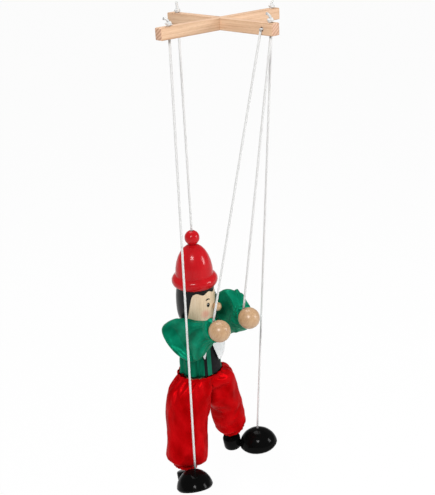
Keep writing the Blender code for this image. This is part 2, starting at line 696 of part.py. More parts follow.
hand_middles = {}
for side, sign in SIDES.items():
    shoulder = Vector((sign * SHOULDER_X, FIGURE_Y, SHOULDER_Z))
    arm_turn = turn_about("Z", -sign * ARM_INWARD) @ turn_about("X", -90 - ARM_RAISE)
    arm_pivot = pivot(side + "_shoulder_pivot", shoulder, arm_turn)
    hand_middles[side] = (shoulder, shoulder + arm_turn @ Vector((0, 0, -ARM_LENGTH)))
    dowel_end = HAND_START + HAND_SOCKET
    dowel = rod(side + "_arm_dowel", (0, 0, -LIMB_START), (0, 0, -dowel_end), ARM_DOWEL, BEECH, arm_pivot)
    screw_eye(side + "_arm_eye", dowel, (0, 0, -LIMB_START), (0, 0, -1), (0, 1, 0), arm_pivot)
    hand = turned(side + "_hand", ball_profile(HAND_BALL / 2, -ARM_LENGTH, 10), BEECH, arm_pivot, 20)
    drill(hand, (0, 0, -HAND_START + OVER), (0, 0, -dowel_end - GAP), ARM_DOWEL + 2 * GAP, arm_pivot, 16)
    sleeve_rings = []
    for share in (0.015, 0.05, 0.1, 0.17, 0.25, 0.4, 0.52, 0.64, 0.76, 0.88, 0.94, 1):
        sleeve_rings.append(sleeve_ring(-SLEEVE_BACK + (SLEEVE_BACK + SLEEVE_LENGTH) * share, side))
    sleeve = loft(side + "_sleeve", sleeve_rings, GREEN_SATIN, arm_pivot)
    drill(sleeve, (0, 0, 0), (0, 0, -SLEEVE_LENGTH - OVER), ARM_DOWEL + 2 * GAP, arm_pivot, 16)
    hand_room = ball_profile(HAND_BALL / 2 + GAP, -ARM_LENGTH, 10)
    cut(sleeve, turned(side + "_sleeve.hand_room", hand_room, None, arm_pivot, 20))
    eye_room = turned(side + "_sleeve.eye_room", ball_profile(EYE_REACH, 0.0, 8), None, None, 16)
    eye_room.location = shoulder * MM
    cut(sleeve, eye_room)
    body_rings = [jacket_ring(z, GAP) for z in jacket_levels]
    body_rings.insert(0, [(x, y, z + SLEEVE_UP[side]) for x, y, z in body_rings[0]])
    body_rings.append([(x, y, z - SLEEVE_DOWN[side]) for x, y, z in body_rings[-1]])
    cut(sleeve, loft(side + "_sleeve.body_side", body_rings, None, torso_pivot))

# Legs and shoes


def leg_cloth_length(side):
    """From the hip to the trouser leg's hem, just above the raised front of the heel."""
    lean = math.radians(TOE_RAISE[side])
    heel_front = LIMB_START * math.cos(lean) - HEEL_WIDTH / 2 * math.sin(lean)
    return LEG_LENGTH + heel_front - HEM_CLEARANCE[side]


def trouser_ring(along, side, count=28):
    """One ring of a trouser leg: straight and full, with long folds, drawn in above the shoe."""
    from_hem = leg_cloth_length(side) - along
    drawn = smooth_step((CUFF_HEIGHT - from_hem) / (CUFF_HEIGHT - FRILL_HEIGHT))
    frill = 1 + FRILL_FLARE * smooth_step((FRILL_HEIGHT - from_hem) / FRILL_HEIGHT)
    half_x = LEG_CLOTH_WIDTH[side] / 2 * (1 - drawn) + CUFF_WIDTH / 2 * drawn
    half_y = LEG_CLOTH_DEPTH[side] / 2 * (1 - drawn) + CUFF_WIDTH / 2 * drawn
    lower = smooth_step(along / (LEG_LENGTH - CUFF_HEIGHT))
    middle = SIDES[side] * (LEG_CLOTH_SHIFT[side] * (1 - lower) + HEM_SHIFT[side] * lower)
    ring = []
    for step in range(count):
        angle = 2 * math.pi * step / count
        fold = LEG_FOLD * math.cos(LEG_FOLDS * angle + 2 * math.pi * along / LEG_LENGTH)
        pleat = CUFF_PLEAT * drawn * math.cos(CUFF_PLEATS * angle)
        scale = (1 + fold * smooth_step(3 * along / LEG_LENGTH)) * (1 + pleat) * frill
        ring.append((middle + half_x * math.cos(angle) * scale, half_y * math.sin(angle) * scale, -along))
    return ring


toe_cord_ends = {}
for side, sign in SIDES.items():
    hip = Vector((sign * HIP_SPREAD / 2, FIGURE_Y, HIP_Z))
    splay = turn_about("Y", -sign * LEG_SPLAY[side]) @ turn_about("X", -LEG_SWING[side])
    foot_turn = turn_about("Z", FOOT_TURN[side]) @ turn_about("X", -TOE_RAISE[side])
    foot_turn = foot_turn @ turn_about("Y", FOOT_ROLL[side])
    ankle = hip + splay @ Vector((0, 0, -LEG_LENGTH))
    leg_pivot = pivot(side + "_hip_pivot", hip, splay)
    foot_pivot = pivot(side + "_ankle_pivot", ankle, foot_turn)

    dowel_end = LEG_LENGTH - EYE_REACH
    dowel = rod(side + "_leg_dowel", (0, 0, -LIMB_START), (0, 0, -dowel_end), LEG_DOWEL, BEECH, leg_pivot)
    screw_eye(side + "_leg_eye", dowel, (0, 0, -LIMB_START), (0, 0, -1), (0, 1, 0), leg_pivot)
    axle = splay.inverted() @ foot_turn @ Vector((1, 0, 0))
    axle.z = 0
    screw_eye(side + "_ankle_eye", dowel, (0, 0, -dowel_end), (0, 0, 1), axle.normalized(), leg_pivot)

    cloth_end = leg_cloth_length(side)
    levels = [-SEAT_DEPTH] + [(cloth_end - CUFF_HEIGHT) * share for share in (0.05, 0.2, 0.4, 0.6, 0.8, 1)]
    levels += [cloth_end - CUFF_HEIGHT * share for share in (0.75, 0.5, 0.3, 0.15, 0)]
    trouser_rings = [trouser_ring(along, side) for along in levels]
    trouser = loft(side + "_trouser_leg", trouser_rings, RED_SATIN, leg_pivot)
    cut(trouser, box(side + "_trouser_leg.top", (-CUTTER_REACH, FIGURE_Y - CUTTER_REACH, SEAT_BOTTOM - GAP),
                     (CUTTER_REACH, FIGURE_Y + CUTTER_REACH, SEAT_BOTTOM + CUTTER_REACH), None))
    across = sorted((sign * GAP / 2, -sign * CUTTER_REACH))
    middle_low = (across[0], FIGURE_Y - CUTTER_REACH, HIP_Z - CUTTER_REACH)
    middle_high = (across[1], FIGURE_Y + CUTTER_REACH, HIP_Z + CUTTER_REACH)
    cut(trouser, box(side + "_trouser_leg.middle", middle_low, middle_high, None))
    drill(trouser, (0, 0, 0), (0, 0, -cloth_end - OVER), LEG_DOWEL + 2 * GAP, leg_pivot, 16)
    drill(trouser, (0, 0, SEAT_DEPTH), (0, 0, -LIMB_START - OVER), HIP_OPENING, leg_pivot, 16)
    drill(trouser, (0, 0, -dowel_end + OVER), (0, 0, -cloth_end - OVER), HIP_OPENING, leg_pivot, 16)

    heel_profile = arc((HEEL_WIDTH / 2 - HEEL_ROUND, -LIMB_START - HEEL_ROUND), HEEL_ROUND, 90, 0, 2)
    heel_profile += arc((HEEL_WIDTH / 2 - HEEL_ROUND, -SOLE + HEEL_ROUND), HEEL_ROUND, 0, -90, 2)
    heel = turned(side + "_heel", heel_profile, SHOE_PAINT, foot_pivot)
    screw_eye(side + "_heel_eye", heel, (0, 0, -LIMB_START), (0, 0, -1), (0, 1, 0), foot_pivot)
    toe_middle = (0.0, TOE_SEAT - HEEL_WIDTH / 2 - TOE_LENGTH / 2)
    toe_rings = []
    for lean in (POLE_ANGLE, 70, 56, 42, 28, 16, 6):
        toe_rings.append(oval(-SOLE + TOE_HEIGHT * math.sin(math.radians(lean)),
                              TOE_WIDTH / 2 * math.cos(math.radians(lean)),
                              TOE_LENGTH / 2 * math.cos(math.radians(lean)), 24, toe_middle))
    toe_rings.append(oval(-SOLE, TOE_WIDTH / 2 - HEEL_ROUND, TOE_LENGTH / 2 - HEEL_ROUND, 24, toe_middle))
    toe = loft(side + "_toe", toe_rings, SHOE_PAINT, foot_pivot)
    cut(toe, rod(side + "_toe.heel_seat", (0, 0, OVER), (0, 0, -SOLE - OVER), HEEL_WIDTH + 2 * GAP, None,
                 foot_pivot, 24))
    cord_y = -TOE_CORD_REACH[side]
    away = (TOE_CORD_SIDE[side] / (TOE_WIDTH / 2)) ** 2 + ((cord_y - toe_middle[1]) / (TOE_LENGTH / 2)) ** 2
    cord_z = -SOLE + TOE_HEIGHT * math.sqrt(max(0.0, 1 - away))
    toe_cord_ends[side] = ankle + foot_turn @ Vector((TOE_CORD_SIDE[side], cord_y, cord_z))

# Cords from the control to the figure

CORD_STEPS = 6


def cord(owner, end, carried=None):
    """A taut cord whose lower end sits in a drilled pocket of the piece that it carries."""
    start = cord_starts[owner]
    way = (end - start).normalized()
    if carried is not None:
        drill(carried, end - way * CORD_SEAT, end + way * POCKET_DEPTH, CORD_HOLE)
    stop = end + way * CORD_SEAT
    points = [start.lerp(stop, step / CORD_STEPS) for step in range(CORD_STEPS + 1)]
    tube(owner + "_string", points, CORD, CORD_COTTON)


cord("head", Vector((0.0, FIGURE_Y, CAP_TOP)))
for side in SIDES:
    shoulder, hand_middle = hand_middles[side]
    lift = (cord_starts[side + "_hand"] - hand_middle).normalized()
    wrist = (shoulder - hand_middle).normalized()
    pull = (lift + wrist * HAND_CORD_LEAN).normalized()
    cord(side + "_hand", hand_middle + pull * HAND_BALL / 2, bpy.data.objects[side + "_hand"])
    cord(side + "_foot", toe_cord_ends[side], bpy.data.objects[side + "_toe"])
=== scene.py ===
from math import asin, copysign, cos, degrees, exp, hypot, pi, radians, sin, sqrt

import bmesh
import bpy
from mathutils import Matrix, Vector, noise


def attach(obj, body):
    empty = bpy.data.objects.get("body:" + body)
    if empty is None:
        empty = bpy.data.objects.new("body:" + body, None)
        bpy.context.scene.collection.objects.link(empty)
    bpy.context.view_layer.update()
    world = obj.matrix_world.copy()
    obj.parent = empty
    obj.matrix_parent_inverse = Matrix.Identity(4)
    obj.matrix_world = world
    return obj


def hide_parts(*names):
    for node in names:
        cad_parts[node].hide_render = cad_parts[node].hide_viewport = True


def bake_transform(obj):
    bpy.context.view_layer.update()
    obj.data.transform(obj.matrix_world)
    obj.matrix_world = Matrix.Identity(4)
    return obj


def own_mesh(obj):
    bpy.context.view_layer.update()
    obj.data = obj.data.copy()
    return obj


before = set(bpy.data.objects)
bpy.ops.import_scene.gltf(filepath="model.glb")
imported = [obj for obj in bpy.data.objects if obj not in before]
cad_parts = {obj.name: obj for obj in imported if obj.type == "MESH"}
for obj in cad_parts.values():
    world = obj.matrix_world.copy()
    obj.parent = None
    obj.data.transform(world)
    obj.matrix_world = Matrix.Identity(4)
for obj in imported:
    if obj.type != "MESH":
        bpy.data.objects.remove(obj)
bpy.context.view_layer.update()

MM = 0.001
scene = bpy.context.scene


def sided(right, left):
    """One value for each side of the figure."""
    return {"right": right, "left": left}


SIDES = sided(-1, 1)


def rotation(angle, axis):
    return Matrix.Rotation(radians(angle), 3, axis)


# Camera
CAMERA_PLACE = (-494.89, -566.66, 103.0)
CAMERA_RIGHT = (0.74942, -0.66018, -0.05035)
CAMERA_UP = (0.27907, 0.246, 0.92823)
CAMERA_BACK = (-0.60041, -0.70968, 0.3686)
CAMERA_LENS = 67.91

# Places that the solids have
FIGURE_Y = 53.4
CORD = 2.0
GAP = 0.3
STRIP_WIDTH = 8.0
STRIP_HEIGHT = 9.5
BRIM_BOTTOM = -247.3
HEAD_TOP = -242.6
HEAD_BOTTOM = -285.6
HEAD_WIDTH = 36.8
HEAD_TOP_WIDTH = 32.0
HEAD_WIDEST = -262.6
CHIN_WIDTH = 21.0
CHIN_POWER = 2.6
HEAD_TURN = 24.0
TORSO_TOP = -291.7
TORSO_HEIGHT = 55.0
TORSO_WIDTH = 34.0
TORSO_DEPTH = 26.0
TORSO_HALVES = (TORSO_WIDTH / 2, TORSO_DEPTH / 2)
TORSO_BOTTOM = TORSO_TOP - TORSO_HEIGHT
TORSO_TOP_SHARE = 0.62
TORSO_ROUND = 7.7
TORSO_TAPER = 0.1
SHOULDER_X = 24.0
SHOULDER_Z = -301.3
HIP_X = 11.0
HIP_Z = -353.5
LEG_LENGTH = 80.3
ARM_RAISE = 30.0
ARM_INWARD = 6.6
LEG_SPLAY = sided(11.9, 20.6)
LEG_SWING = sided(0.0, 4.8)
JACKET_TOP = -293.9
JACKET_LENGTH = 40.0
WAIST = -335.4
SEAT_DEPTH = 20.0

# Cords: from the hole in the control to the mouth of the pocket that holds them
CORD_RUNS = {
    "head": ((0.0, 53.4, -8.7), (0.0, 53.4, -193.3)),
    "left_hand": ((0.0, -57.0, -8.7), (18.178, 7.789, -263.718)),
    "right_hand": ((-5.3, -51.4, -6.1), (-18.423, 7.873, -263.825)),
    "right_foot": ((-52.0, 0.0, -8.7), (-31.842, 31.714, -423.152)),
    "left_foot": ((57.0, 0.0, -8.7), (60.375, 41.792, -424.683)),
}
CORD_SEAT = 3.0
ARM_LIFT = 32.0

# Colours, from dark to pale
PINE_TONES = ((0.48, 0.265, 0.145), (0.64, 0.405, 0.25), (0.74, 0.5, 0.325))
BEECH_TONES = ((0.38, 0.21, 0.1), (0.47, 0.285, 0.15), (0.53, 0.345, 0.19))
FACE_TONES = ((0.64, 0.46, 0.3), (0.73, 0.56, 0.38), (0.78, 0.62, 0.44))
BLUSH = (0.66, 0.17, 0.12)
SAWN_BROWN = (0.4, 0.21, 0.105)
END_TONES = ((0.45, 0.255, 0.16), (0.66, 0.41, 0.28))
# Satin tones: the middle one is the cloth's colour; the dark and pale ones are painted shade and painted
# highlight in its creases.
SLEEVE_SHADE_TONES = ((0.001, 0.095, 0.048), (0.002, 0.19, 0.1), (0.006, 0.275, 0.155))
# The jacket's tones are the sleeves' green painted darker: painted shade from the sleeve above it.
SHADED_JACKET_TONES = ((0.001, 0.05, 0.024), (0.002, 0.125, 0.064), (0.006, 0.27, 0.15))
TROUSER_SHADE_TONES = ((0.31, 0.0005, 0.001), (0.45, 0.0015, 0.003), (0.57, 0.004, 0.006))
GREEN_GLINT = (0.1, 0.8, 0.55)
RED_GLINT = (1.0, 0.03, 0.04)
VEST_GREENS = ((0.003, 0.1, 0.055), (0.008, 0.16, 0.09))
VEST_BLACKS = ((0.004, 0.004, 0.005), (0.01, 0.01, 0.011))
COTTON_TONES = ((0.7, 0.71, 0.72), (0.82, 0.83, 0.83))
# The cord's dark tone is painted shade in the grooves of the braid.
CORD_GROOVE_SHADE_TONES = ((0.42, 0.42, 0.41), (0.83, 0.83, 0.82))
WIRE_TONES = ((0.42, 0.41, 0.39), (0.62, 0.61, 0.58))
FLOOR_TONES = ((0.88, 0.88, 0.88), (0.9, 0.9, 0.9))

# Materials

SATIN_LUSTRE = 0.28
BROAD_CREASES = (0.1, 0.055, 1)
HANGING_CREASES = (0.26, 0.03, 1)
STRIPE_PITCH = 20.0
STRIPE_MIDDLE = 10.0
STRIPE_WIDTH = 4.6
PORE_LEVEL = 0.645
CHEEK_LEVEL = -270.5
CHEEK_THETA = 36.0
CHEEK_INNER = 1.5
CHEEK_OUTER = 6.2
CHEEK_STRENGTH = 0.5


class Recipe:
    """A node material made with short calls. Its textures are measured in millimetres."""

    def __init__(self, name, source="Object", **shader_values):
        self.source = source
        self.material = bpy.data.materials.new(name)
        self.material.use_nodes = True
        self.tree = self.material.node_tree
        self.shader = self.tree.nodes["Principled BSDF"]
        for socket, value in shader_values.items():
            self.shader.inputs[socket.replace("_", " ")].default_value = value

    def add(self, kind, inputs=None, **settings):
        """A node; an input's value is a number, a colour or another node's socket."""
        made = self.tree.nodes.new("ShaderNode" + kind)
        for key, value in settings.items():
            setattr(made, key, value)
        for socket, value in (inputs or {}).items():
            if isinstance(value, bpy.types.NodeSocket):
                self.tree.links.new(value, made.inputs[socket])
            else:
                made.inputs[socket].default_value = value
        return made

    def set(self, socket, value):
        self.tree.links.new(value, self.shader.inputs[socket])

    def base(self):
        """What the base colour comes from so far."""
        return self.shader.inputs["Base Color"].links[0].from_socket

    def math(self, operation, first, second=0.0, clamp=False):
        return self.add("Math", {0: first, 1: second}, operation=operation, use_clamp=clamp).outputs[0]

    def mix(self, share, *colours):
        """A mix of two colours, each one a socket or a red, a green and a blue."""
        first, second = [(*tone, 1) if isinstance(tone, tuple) else tone for tone in colours]
        return self.add("Mix", {"Factor": share, 6: first, 7: second}, data_type="RGBA").outputs[2]

    def place(self, scale=1.0, turn=(0, 0, 0)):
        """Texture coordinates, turned and then scaled by one number or by three."""
        coords = self.add("TexCoord").outputs[self.source]
        angles = [radians(angle) for angle in turn]
        turned = self.add("Mapping", {"Vector": coords, "Rotation": angles}).outputs[0]
        parts = scale if isinstance(scale, tuple) else (scale,) * 3
        unit = 1000 if self.source == "Object" else 1
        size = [unit * part for part in parts]
        return self.add("Mapping", {"Vector": turned, "Scale": size}).outputs[0]

    def noise(self, scale, detail=3.0, roughness=0.5, turn=(0, 0, 0)):
        vector = self.place(scale, turn)
        inputs = {"Vector": vector, "Scale": 1.0, "Detail": detail, "Roughness": roughness}
        return self.add("TexNoise", inputs).outputs["Fac"]

    def wave(self, vector, scale, distortion, direction, detail=2.0):
        inputs = {"Vector": vector, "Scale": scale, "Distortion": distortion, "Detail": detail}
        return self.add("TexWave", inputs, bands_direction=direction).outputs["Fac"]

    def ramp(self, value, stops, tones):
        """Colours at their stops along a value; there are two stops or more."""
        made = self.add("ValToRGB", {"Fac": value})
        elements = made.color_ramp.elements
        elements[0].position = stops[0]
        elements[1].position = stops[-1]
        for stop in stops[1:-1]:
            elements.new(stop)
        for element, tone in zip(elements, tones):
            element.color = (*tone, 1)
        return made.outputs["Color"]

    def range(self, value, low, high, start=0.0, end=1.0, kind="LINEAR"):
        """A value between start and end, moved to the range from low to high."""
        inputs = {"Value": value, "From Min": start, "From Max": end, "To Min": low, "To Max": high}
        return self.add("MapRange", inputs, interpolation_type=kind).outputs[0]

    def bump(self, *layers):
        """Bumps one on another: (height, strength, distance in millimetres)."""
        normal = None
        for height, strength, distance in layers:
            inputs = {"Height": height, "Strength": strength, "Distance": distance * MM}
            if normal:
                inputs["Normal"] = normal
            normal = self.add("Bump", inputs).outputs[0]
        self.set("Normal", normal)

    def finish(self, colour, rough, *bumps):
        """The base colour, the roughness as a value and its range, and the bumps; gives the material."""
        self.set("Base Color", colour)
        self.set("Roughness", self.range(*rough))
        self.bump(*bumps)
        return self.material


def wood(name, tones, turn, pores, roughness, coat):
    """Straight grain along the texture's X axis, with darker growth lines and short pores."""
    made = Recipe(name, Coat_Weight=coat, Coat_Roughness=0.22)
    warp = made.noise((0.012, 0.1, 0.1), 2.0, turn=turn)
    lines = made.noise((0.014, 0.85, 0.85), 4.0, 0.62, turn=turn)
    grain = made.math("ADD", made.math("MULTIPLY", lines, 0.7), made.math("MULTIPLY", warp, 0.3))
    colour = made.ramp(grain, (0.34, 0.47, 0.62), tones)
    pore = made.noise((0.32, 3.4, 3.4), 1.0, turn=turn)
    pore_mark = made.math("MULTIPLY", made.math("GREATER_THAN", pore, PORE_LEVEL), pores)
    pore_colour = tuple(0.55 * part for part in tones[0])
    made.finish(made.mix(pore_mark, colour, pore_colour), (grain, roughness + 0.1, roughness - 0.06),
                (lines, 0.12, 0.25), (pore, 0.06, 0.1))
    return made


def strip_wood(name, length_axis):
    """Bare pine of a sawn strip: browned edges, and growth rings on both ends."""
    made = wood(name, PINE_TONES, (0, 0, 90 * length_axis), 0.25, 0.55, 0.0)
    coords = made.add("TexCoord").outputs
    place = made.add("SeparateXYZ", {0: coords["Object"]}).outputs
    half_width = STRIP_WIDTH / 2 * MM
    half_height = STRIP_HEIGHT / 2 * MM
    sideways = made.math("DIVIDE", made.math("ABSOLUTE", place[1 - length_axis]), half_width)
    upward = made.math("ABSOLUTE", made.math("ADD", place[2], half_height))
    upward = made.math("DIVIDE", upward, half_height)
    near = made.range(made.math("MINIMUM", sideways, upward), 0.0, 1.0, start=0.72, kind="SMOOTHSTEP")
    rub = made.noise(0.09)
    edge = made.math("MULTIPLY", near, made.range(rub, 0.25, 1.0))
    colour = made.mix(edge, made.base(), SAWN_BROWN)
    facing = made.add("SeparateXYZ", {0: coords["Normal"]}).outputs[length_axis]
    rings = made.wave(made.place(turn=(35, 35, 0)), 0.17, 2.5, "Z")
    end_colour = made.ramp(rings, (0.2, 0.8), END_TONES)
    end = made.math("GREATER_THAN", made.math("ABSOLUTE", facing), 0.8)
    made.set("Base Color", made.mix(end, colour, end_colour))
    return made.material


def face_wood():
    """The head's varnished beech, with a soft blush on both cheeks."""
    made = wood("face_beech", FACE_TONES, (0, 90, 0), 0.3, 0.42, 0.25)
    colour = made.base()
    coords = made.add("TexCoord").outputs["Object"]
    for theta in (-CHEEK_THETA, CHEEK_THETA):
        spot = tuple(face_point(theta, CHEEK_LEVEL) * MM)
        away = made.add("VectorMath", {0: coords, 1: spot}, operation="DISTANCE").outputs["Value"]
        near = made.range(away, CHEEK_STRENGTH, 0.0, CHEEK_INNER * MM, CHEEK_OUTER * MM, "SMOOTHSTEP")
        colour = made.mix(near, colour, BLUSH)
    made.set("Base Color", colour)
    return made.material


def gloss_paint(name, colour, worn, roughness, coat, level):
    """Thick gloss paint on turned wood: a faint orange peel, a little dust and uneven cover."""
    made = Recipe(name, Coat_Weight=coat, Coat_Roughness=0.06, Specular_IOR_Level=level)
    cover = made.math("MULTIPLY", made.noise(0.12), 0.6)
    dust = made.noise(0.5, 4.0, 0.7)
    peel = made.noise(0.6, 1.0)
    rings = made.noise((0.02, 0.02, 1.6), 2.0)
    return made.finish(made.mix(cover, colour, worn), (dust, roughness - 0.05, roughness + 0.09),
                       (peel, 0.05, 0.15), (rings, 0.05, 0.12))


def satin(name, tones, glint, level, crease_scale, crease_turn):
    """Polyester satin: long floats that shine in the cloth's own colour, and small creases. Its colour is
    painted shade in the crease hollows and painted highlight on the crests, with uneven dye along the
    threads.
    """
    made = Recipe(name, "UV", Metallic=SATIN_LUSTRE, Anisotropic=0.4, Specular_IOR_Level=level,
                  Specular_Tint=(*glint, 1))
    creases = made.noise(crease_scale, 2.0, 0.45, turn=(0, 0, crease_turn))
    small = made.noise((0.42, 0.25, 0.4), 2.0, turn=(0, 0, -20))
    # Painted shade and highlight: the crease noise that makes the bumps also runs the colour from the dark
    # tone to the pale one.
    shade = made.ramp(creases, (0.28, 0.5, 0.74), tones)
    thread = made.noise((5.0, 0.5, 1.0), 2.0)
    colour = made.mix(made.math("MULTIPLY", thread, 0.14), shade, tones[0])
    weave = made.wave(made.place(), 2.6, 0.4, "DIAGONAL", 1.0)
    bumps = ((creases, 0.6, 1.5), (small, 0.3, 0.45), (weave, 0.1, 0.05))
    return made.finish(colour, (thread, 0.34, 0.46), *bumps)


def plain_weave(name, tones, scale):
    """Over and under threads in both directions."""
    made = Recipe(name, "UV", Sheen_Weight=0.15, Sheen_Roughness=0.5, Specular_IOR_Level=0.25)
    cloth = made.place(scale)
    threads = made.math("MULTIPLY", *[made.wave(cloth, 0.5, 0.5, direction) for direction in "XY"])
    soft = made.noise(0.25)
    colour = made.mix(made.math("MULTIPLY", soft, 0.5), tones[1], tones[0])
    return made.finish(colour, (threads, 0.75, 0.95), (soft, 0.3, 0.5), (threads, 0.35, 0.12))


def vest_cloth():
    """Black cloth with broad green stripes running down it."""
    made = Recipe("striped_vest_cloth", "UV", Sheen_Weight=0.02, Sheen_Roughness=0.5,
                  Specular_IOR_Level=0.06)
    across = made.add("SeparateXYZ", {0: made.place()}).outputs[0]
    shifted = made.math("ADD", made.math("DIVIDE", across, STRIPE_PITCH), 0.5 - STRIPE_MIDDLE / STRIPE_PITCH)
    away = made.math("ABSOLUTE", made.math("SUBTRACT", made.math("FRACT", shifted), 0.5))
    band = made.math("LESS_THAN", away, STRIPE_WIDTH / STRIPE_PITCH / 2)
    soft = made.noise((0.4, 0.15, 0.4))
    colour = made.mix(band, made.mix(soft, *VEST_BLACKS), made.mix(soft, *VEST_GREENS))
    threads = made.noise((4.0, 1.0, 4.0), 2.0)
    return made.finish(colour, (threads, 0.55, 0.75), (soft, 0.4, 0.6), (threads, 0.3, 0.15))


def braid():
    """Braided cotton cord; the texture runs round and along the cord, and the dark tone between the strands
    is painted shade in the grooves.
    """
    made = Recipe("braided_cord", "UV", Sheen_Weight=0.2, Sheen_Roughness=0.6, Specular_IOR_Level=0.2)
    ways = [made.place(turn=(0, 0, turn)) for turn in (45, -45)]
    strands = made.math("MAXIMUM", *[made.wave(way, 0.9, 0.0, "X") for way in ways])
    fuzz = made.noise(2.0)
    # Painted shade: the grooves between the strands are coloured dark grey.
    colour = made.ramp(strands, (0.25, 0.8), CORD_GROOVE_SHADE_TONES)
    return made.finish(colour, (fuzz, 0.8, 0.95), (strands, 0.6, 0.2), (fuzz, 0.2, 0.08))


def wire():
    made = Recipe("bent_wire", Metallic=1.0)
    drawn = made.noise(2.0)
    return made.finish(made.ramp(drawn, (0.3, 0.7), WIRE_TONES), (drawn, 0.25, 0.45), (drawn, 0.1, 0.05))


PINE_X = strip_wood("pine_across", 0)
PINE_Y = strip_wood("pine_along", 1)
BEECH = wood("varnished_beech", BEECH_TONES, (0, 70, 20), 0.55, 0.42, 0.35).material
DOWEL = wood("bare_beech", BEECH_TONES, (0, 90, 0), 0.5, 0.6, 0.0).material
CAP_RED = gloss_paint("cap_gloss_red", (0.46, 0.005, 0.009), (0.54, 0.008, 0.013), 0.22, 0.14, 0.12)
SHOE_BLACK = gloss_paint("shoe_gloss_black", (0.002, 0.002, 0.002), (0.004, 0.004, 0.004), 0.12, 0.035, 0.03)
HAIR_BLACK = gloss_paint("hair_paint_black", (0.004, 0.004, 0.005), (0.008, 0.008, 0.008), 0.3, 0.15, 0.1)
LIP_RED = gloss_paint("mouth_paint", (0.38, 0.03, 0.03), (0.45, 0.05, 0.04), 0.4, 0.2, 0.4)
EYE_WHITE = gloss_paint("eye_glint_paint", (0.8, 0.8, 0.8), (0.85, 0.85, 0.85), 0.3, 0.4, 0.5)
GREEN = satin("green_satin_cloth", SLEEVE_SHADE_TONES, GREEN_GLINT, 0.12, BROAD_CREASES, 25)
# The same green satin as the sleeves, painted darker as shade on the jacket.
SHADED_JACKET_GREEN = satin("jacket_satin_painted_shade", SHADED_JACKET_TONES, GREEN_GLINT, 0.12, HANGING_CREASES, 4)
RED = satin("red_satin_cloth", TROUSER_SHADE_TONES, RED_GLINT, 0.02, BROAD_CREASES, 25)
WHITE = plain_weave("white_cotton_cloth", COTTON_TONES, 4.0)
BRAID = braid()
WIRE = wire()


# Shapes

SIMULATION_SCALE = 10.0
CLOTH_VALUES = {
    "quality": 8, "mass": 0.25, "vertex_group_mass": "held", "tension_stiffness": 20,
    "compression_stiffness": 20, "shear_stiffness": 8, "bending_stiffness": 2.0, "air_damping": 4,
    "use_pressure": True, "uniform_pressure_force": 0.5,
}
CLOTH_THICKNESS = 0.5
PLEAT_DEPTH = 0.035
EASE_ROUNDS = 2
EASE_FACTOR = 0.4
CRISP_ANGLE = 38.0
WELD = 0.01


def smooth_step(share):
    share = min(max(share, 0.0), 1.0)
    return share * share * (3 - 2 * share)


def rise(value, start, span):
    """Goes smoothly from 0 at the start to 1 a span later."""
    return smooth_step((value - start) / span)


def quarter_round(share):
    """Rises from 0 to 1 as a quarter of a circle does."""
    return sqrt(max(0.0, 1 - (1 - min(share, 1.0)) ** 2))


def blend_of(first, second, share):
    return first + (second - first) * share


def mesh_object(name, points, faces, finish, uvs=None):
    """A smooth mesh from points in millimetres; uvs gives one pair for each face corner."""
    mesh = bpy.data.meshes.new(name)
    mesh.from_pydata([Vector(point) * MM for point in points], [], faces)
    if uvs is not None:
        layer = mesh.uv_layers.new(name="cloth")
        for loop, pair in zip(layer.data, uvs):
            loop.uv = pair
    mesh.shade_smooth()
    mesh.materials.append(finish)
    made = bpy.data.objects.new(name, mesh)
    scene.collection.objects.link(made)
    return made


def lengths_along(points):
    """The way from the first point to each of the others."""
    lengths = [0.0]
    for before, after in zip(points, points[1:]):
        lengths.append(lengths[-1] + (Vector(after) - Vector(before)).length)
    return lengths


def quads(bands, count, spans, first=0):
    """The faces of a grid, each with its corners' rows and steps."""
    for row in range(bands):
        low = first + row * count
        for step in range(spans):
            after = (step + 1) % count
            face = (low + step, low + count + step, low + count + after, low + after)
            yield face, ((row, step), (row + 1, step), (row + 1, step + 1), (row, step + 1))


def grid(name, rows, finish, closed=True):
    """A sheet through rows of points. Its texture coordinates follow the cloth, in millimetres."""
    count = len(rows[0])
    points = [point for row in rows for point in row]
    spans = count if closed else count - 1
    middle = rows[len(rows) // 2]
    around = lengths_along([*middle, middle[0]])
    down = lengths_along([row[0] for row in rows])
    faces = []
    uvs = []
    for face, corners in quads(len(rows) - 1, count, spans):
        faces.append(face)
        uvs += [(around[step], down[row]) for row, step in corners]
    return mesh_object(name, points, faces, finish, uvs)


def formed(name, point, rows, count, finish, closed=True):
    """A sheet formed in code; point takes the share of the way across and the share of the way down."""
    spans = count if closed else count - 1
    places = [[point(step / spans, row / rows) for step in range(count)] for row in range(rows + 1)]
    return grid(name, places, finish, closed)


def tube(name, points, radii, finish, sides=10):
    """A closed tube along points; radii has one value for each point. Texture: round, then along."""
    points = [Vector(point) for point in points]
    along = lengths_along(points)
    flat = []
    normal = None
    for index, point in enumerate(points):
        before = points[max(index - 1, 0)]
        after = points[min(index + 1, len(points) - 1)]
        way = (after - before).normalized()
        if normal is None:
            normal = way.orthogonal().normalized()
        normal = (normal - way * normal.dot(way)).normalized()
        binormal = way.cross(normal)
        for side in range(sides):
            angle = 2 * pi * side / sides
            flat.append(point + (normal * cos(angle) + binormal * sin(angle)) * radii[index])
    faces = []
    uvs = []
    girth = 2 * pi * max(radii)
    for face, corners in quads(len(points) - 1, sides, sides):
        faces.append((face[0], *face[:0:-1]))
        uvs += [(girth * side / sides, along[row]) for row, side in (corners[0], *corners[:0:-1])]
    for ring, order in ((0, range(sides - 1, -1, -1)), (len(points) - 1, range(sides))):
        faces.append(tuple(ring * sides + side for side in order))
        uvs += [(0.0, along[ring])] * sides
    return mesh_object(name, flat, faces, finish, uvs)


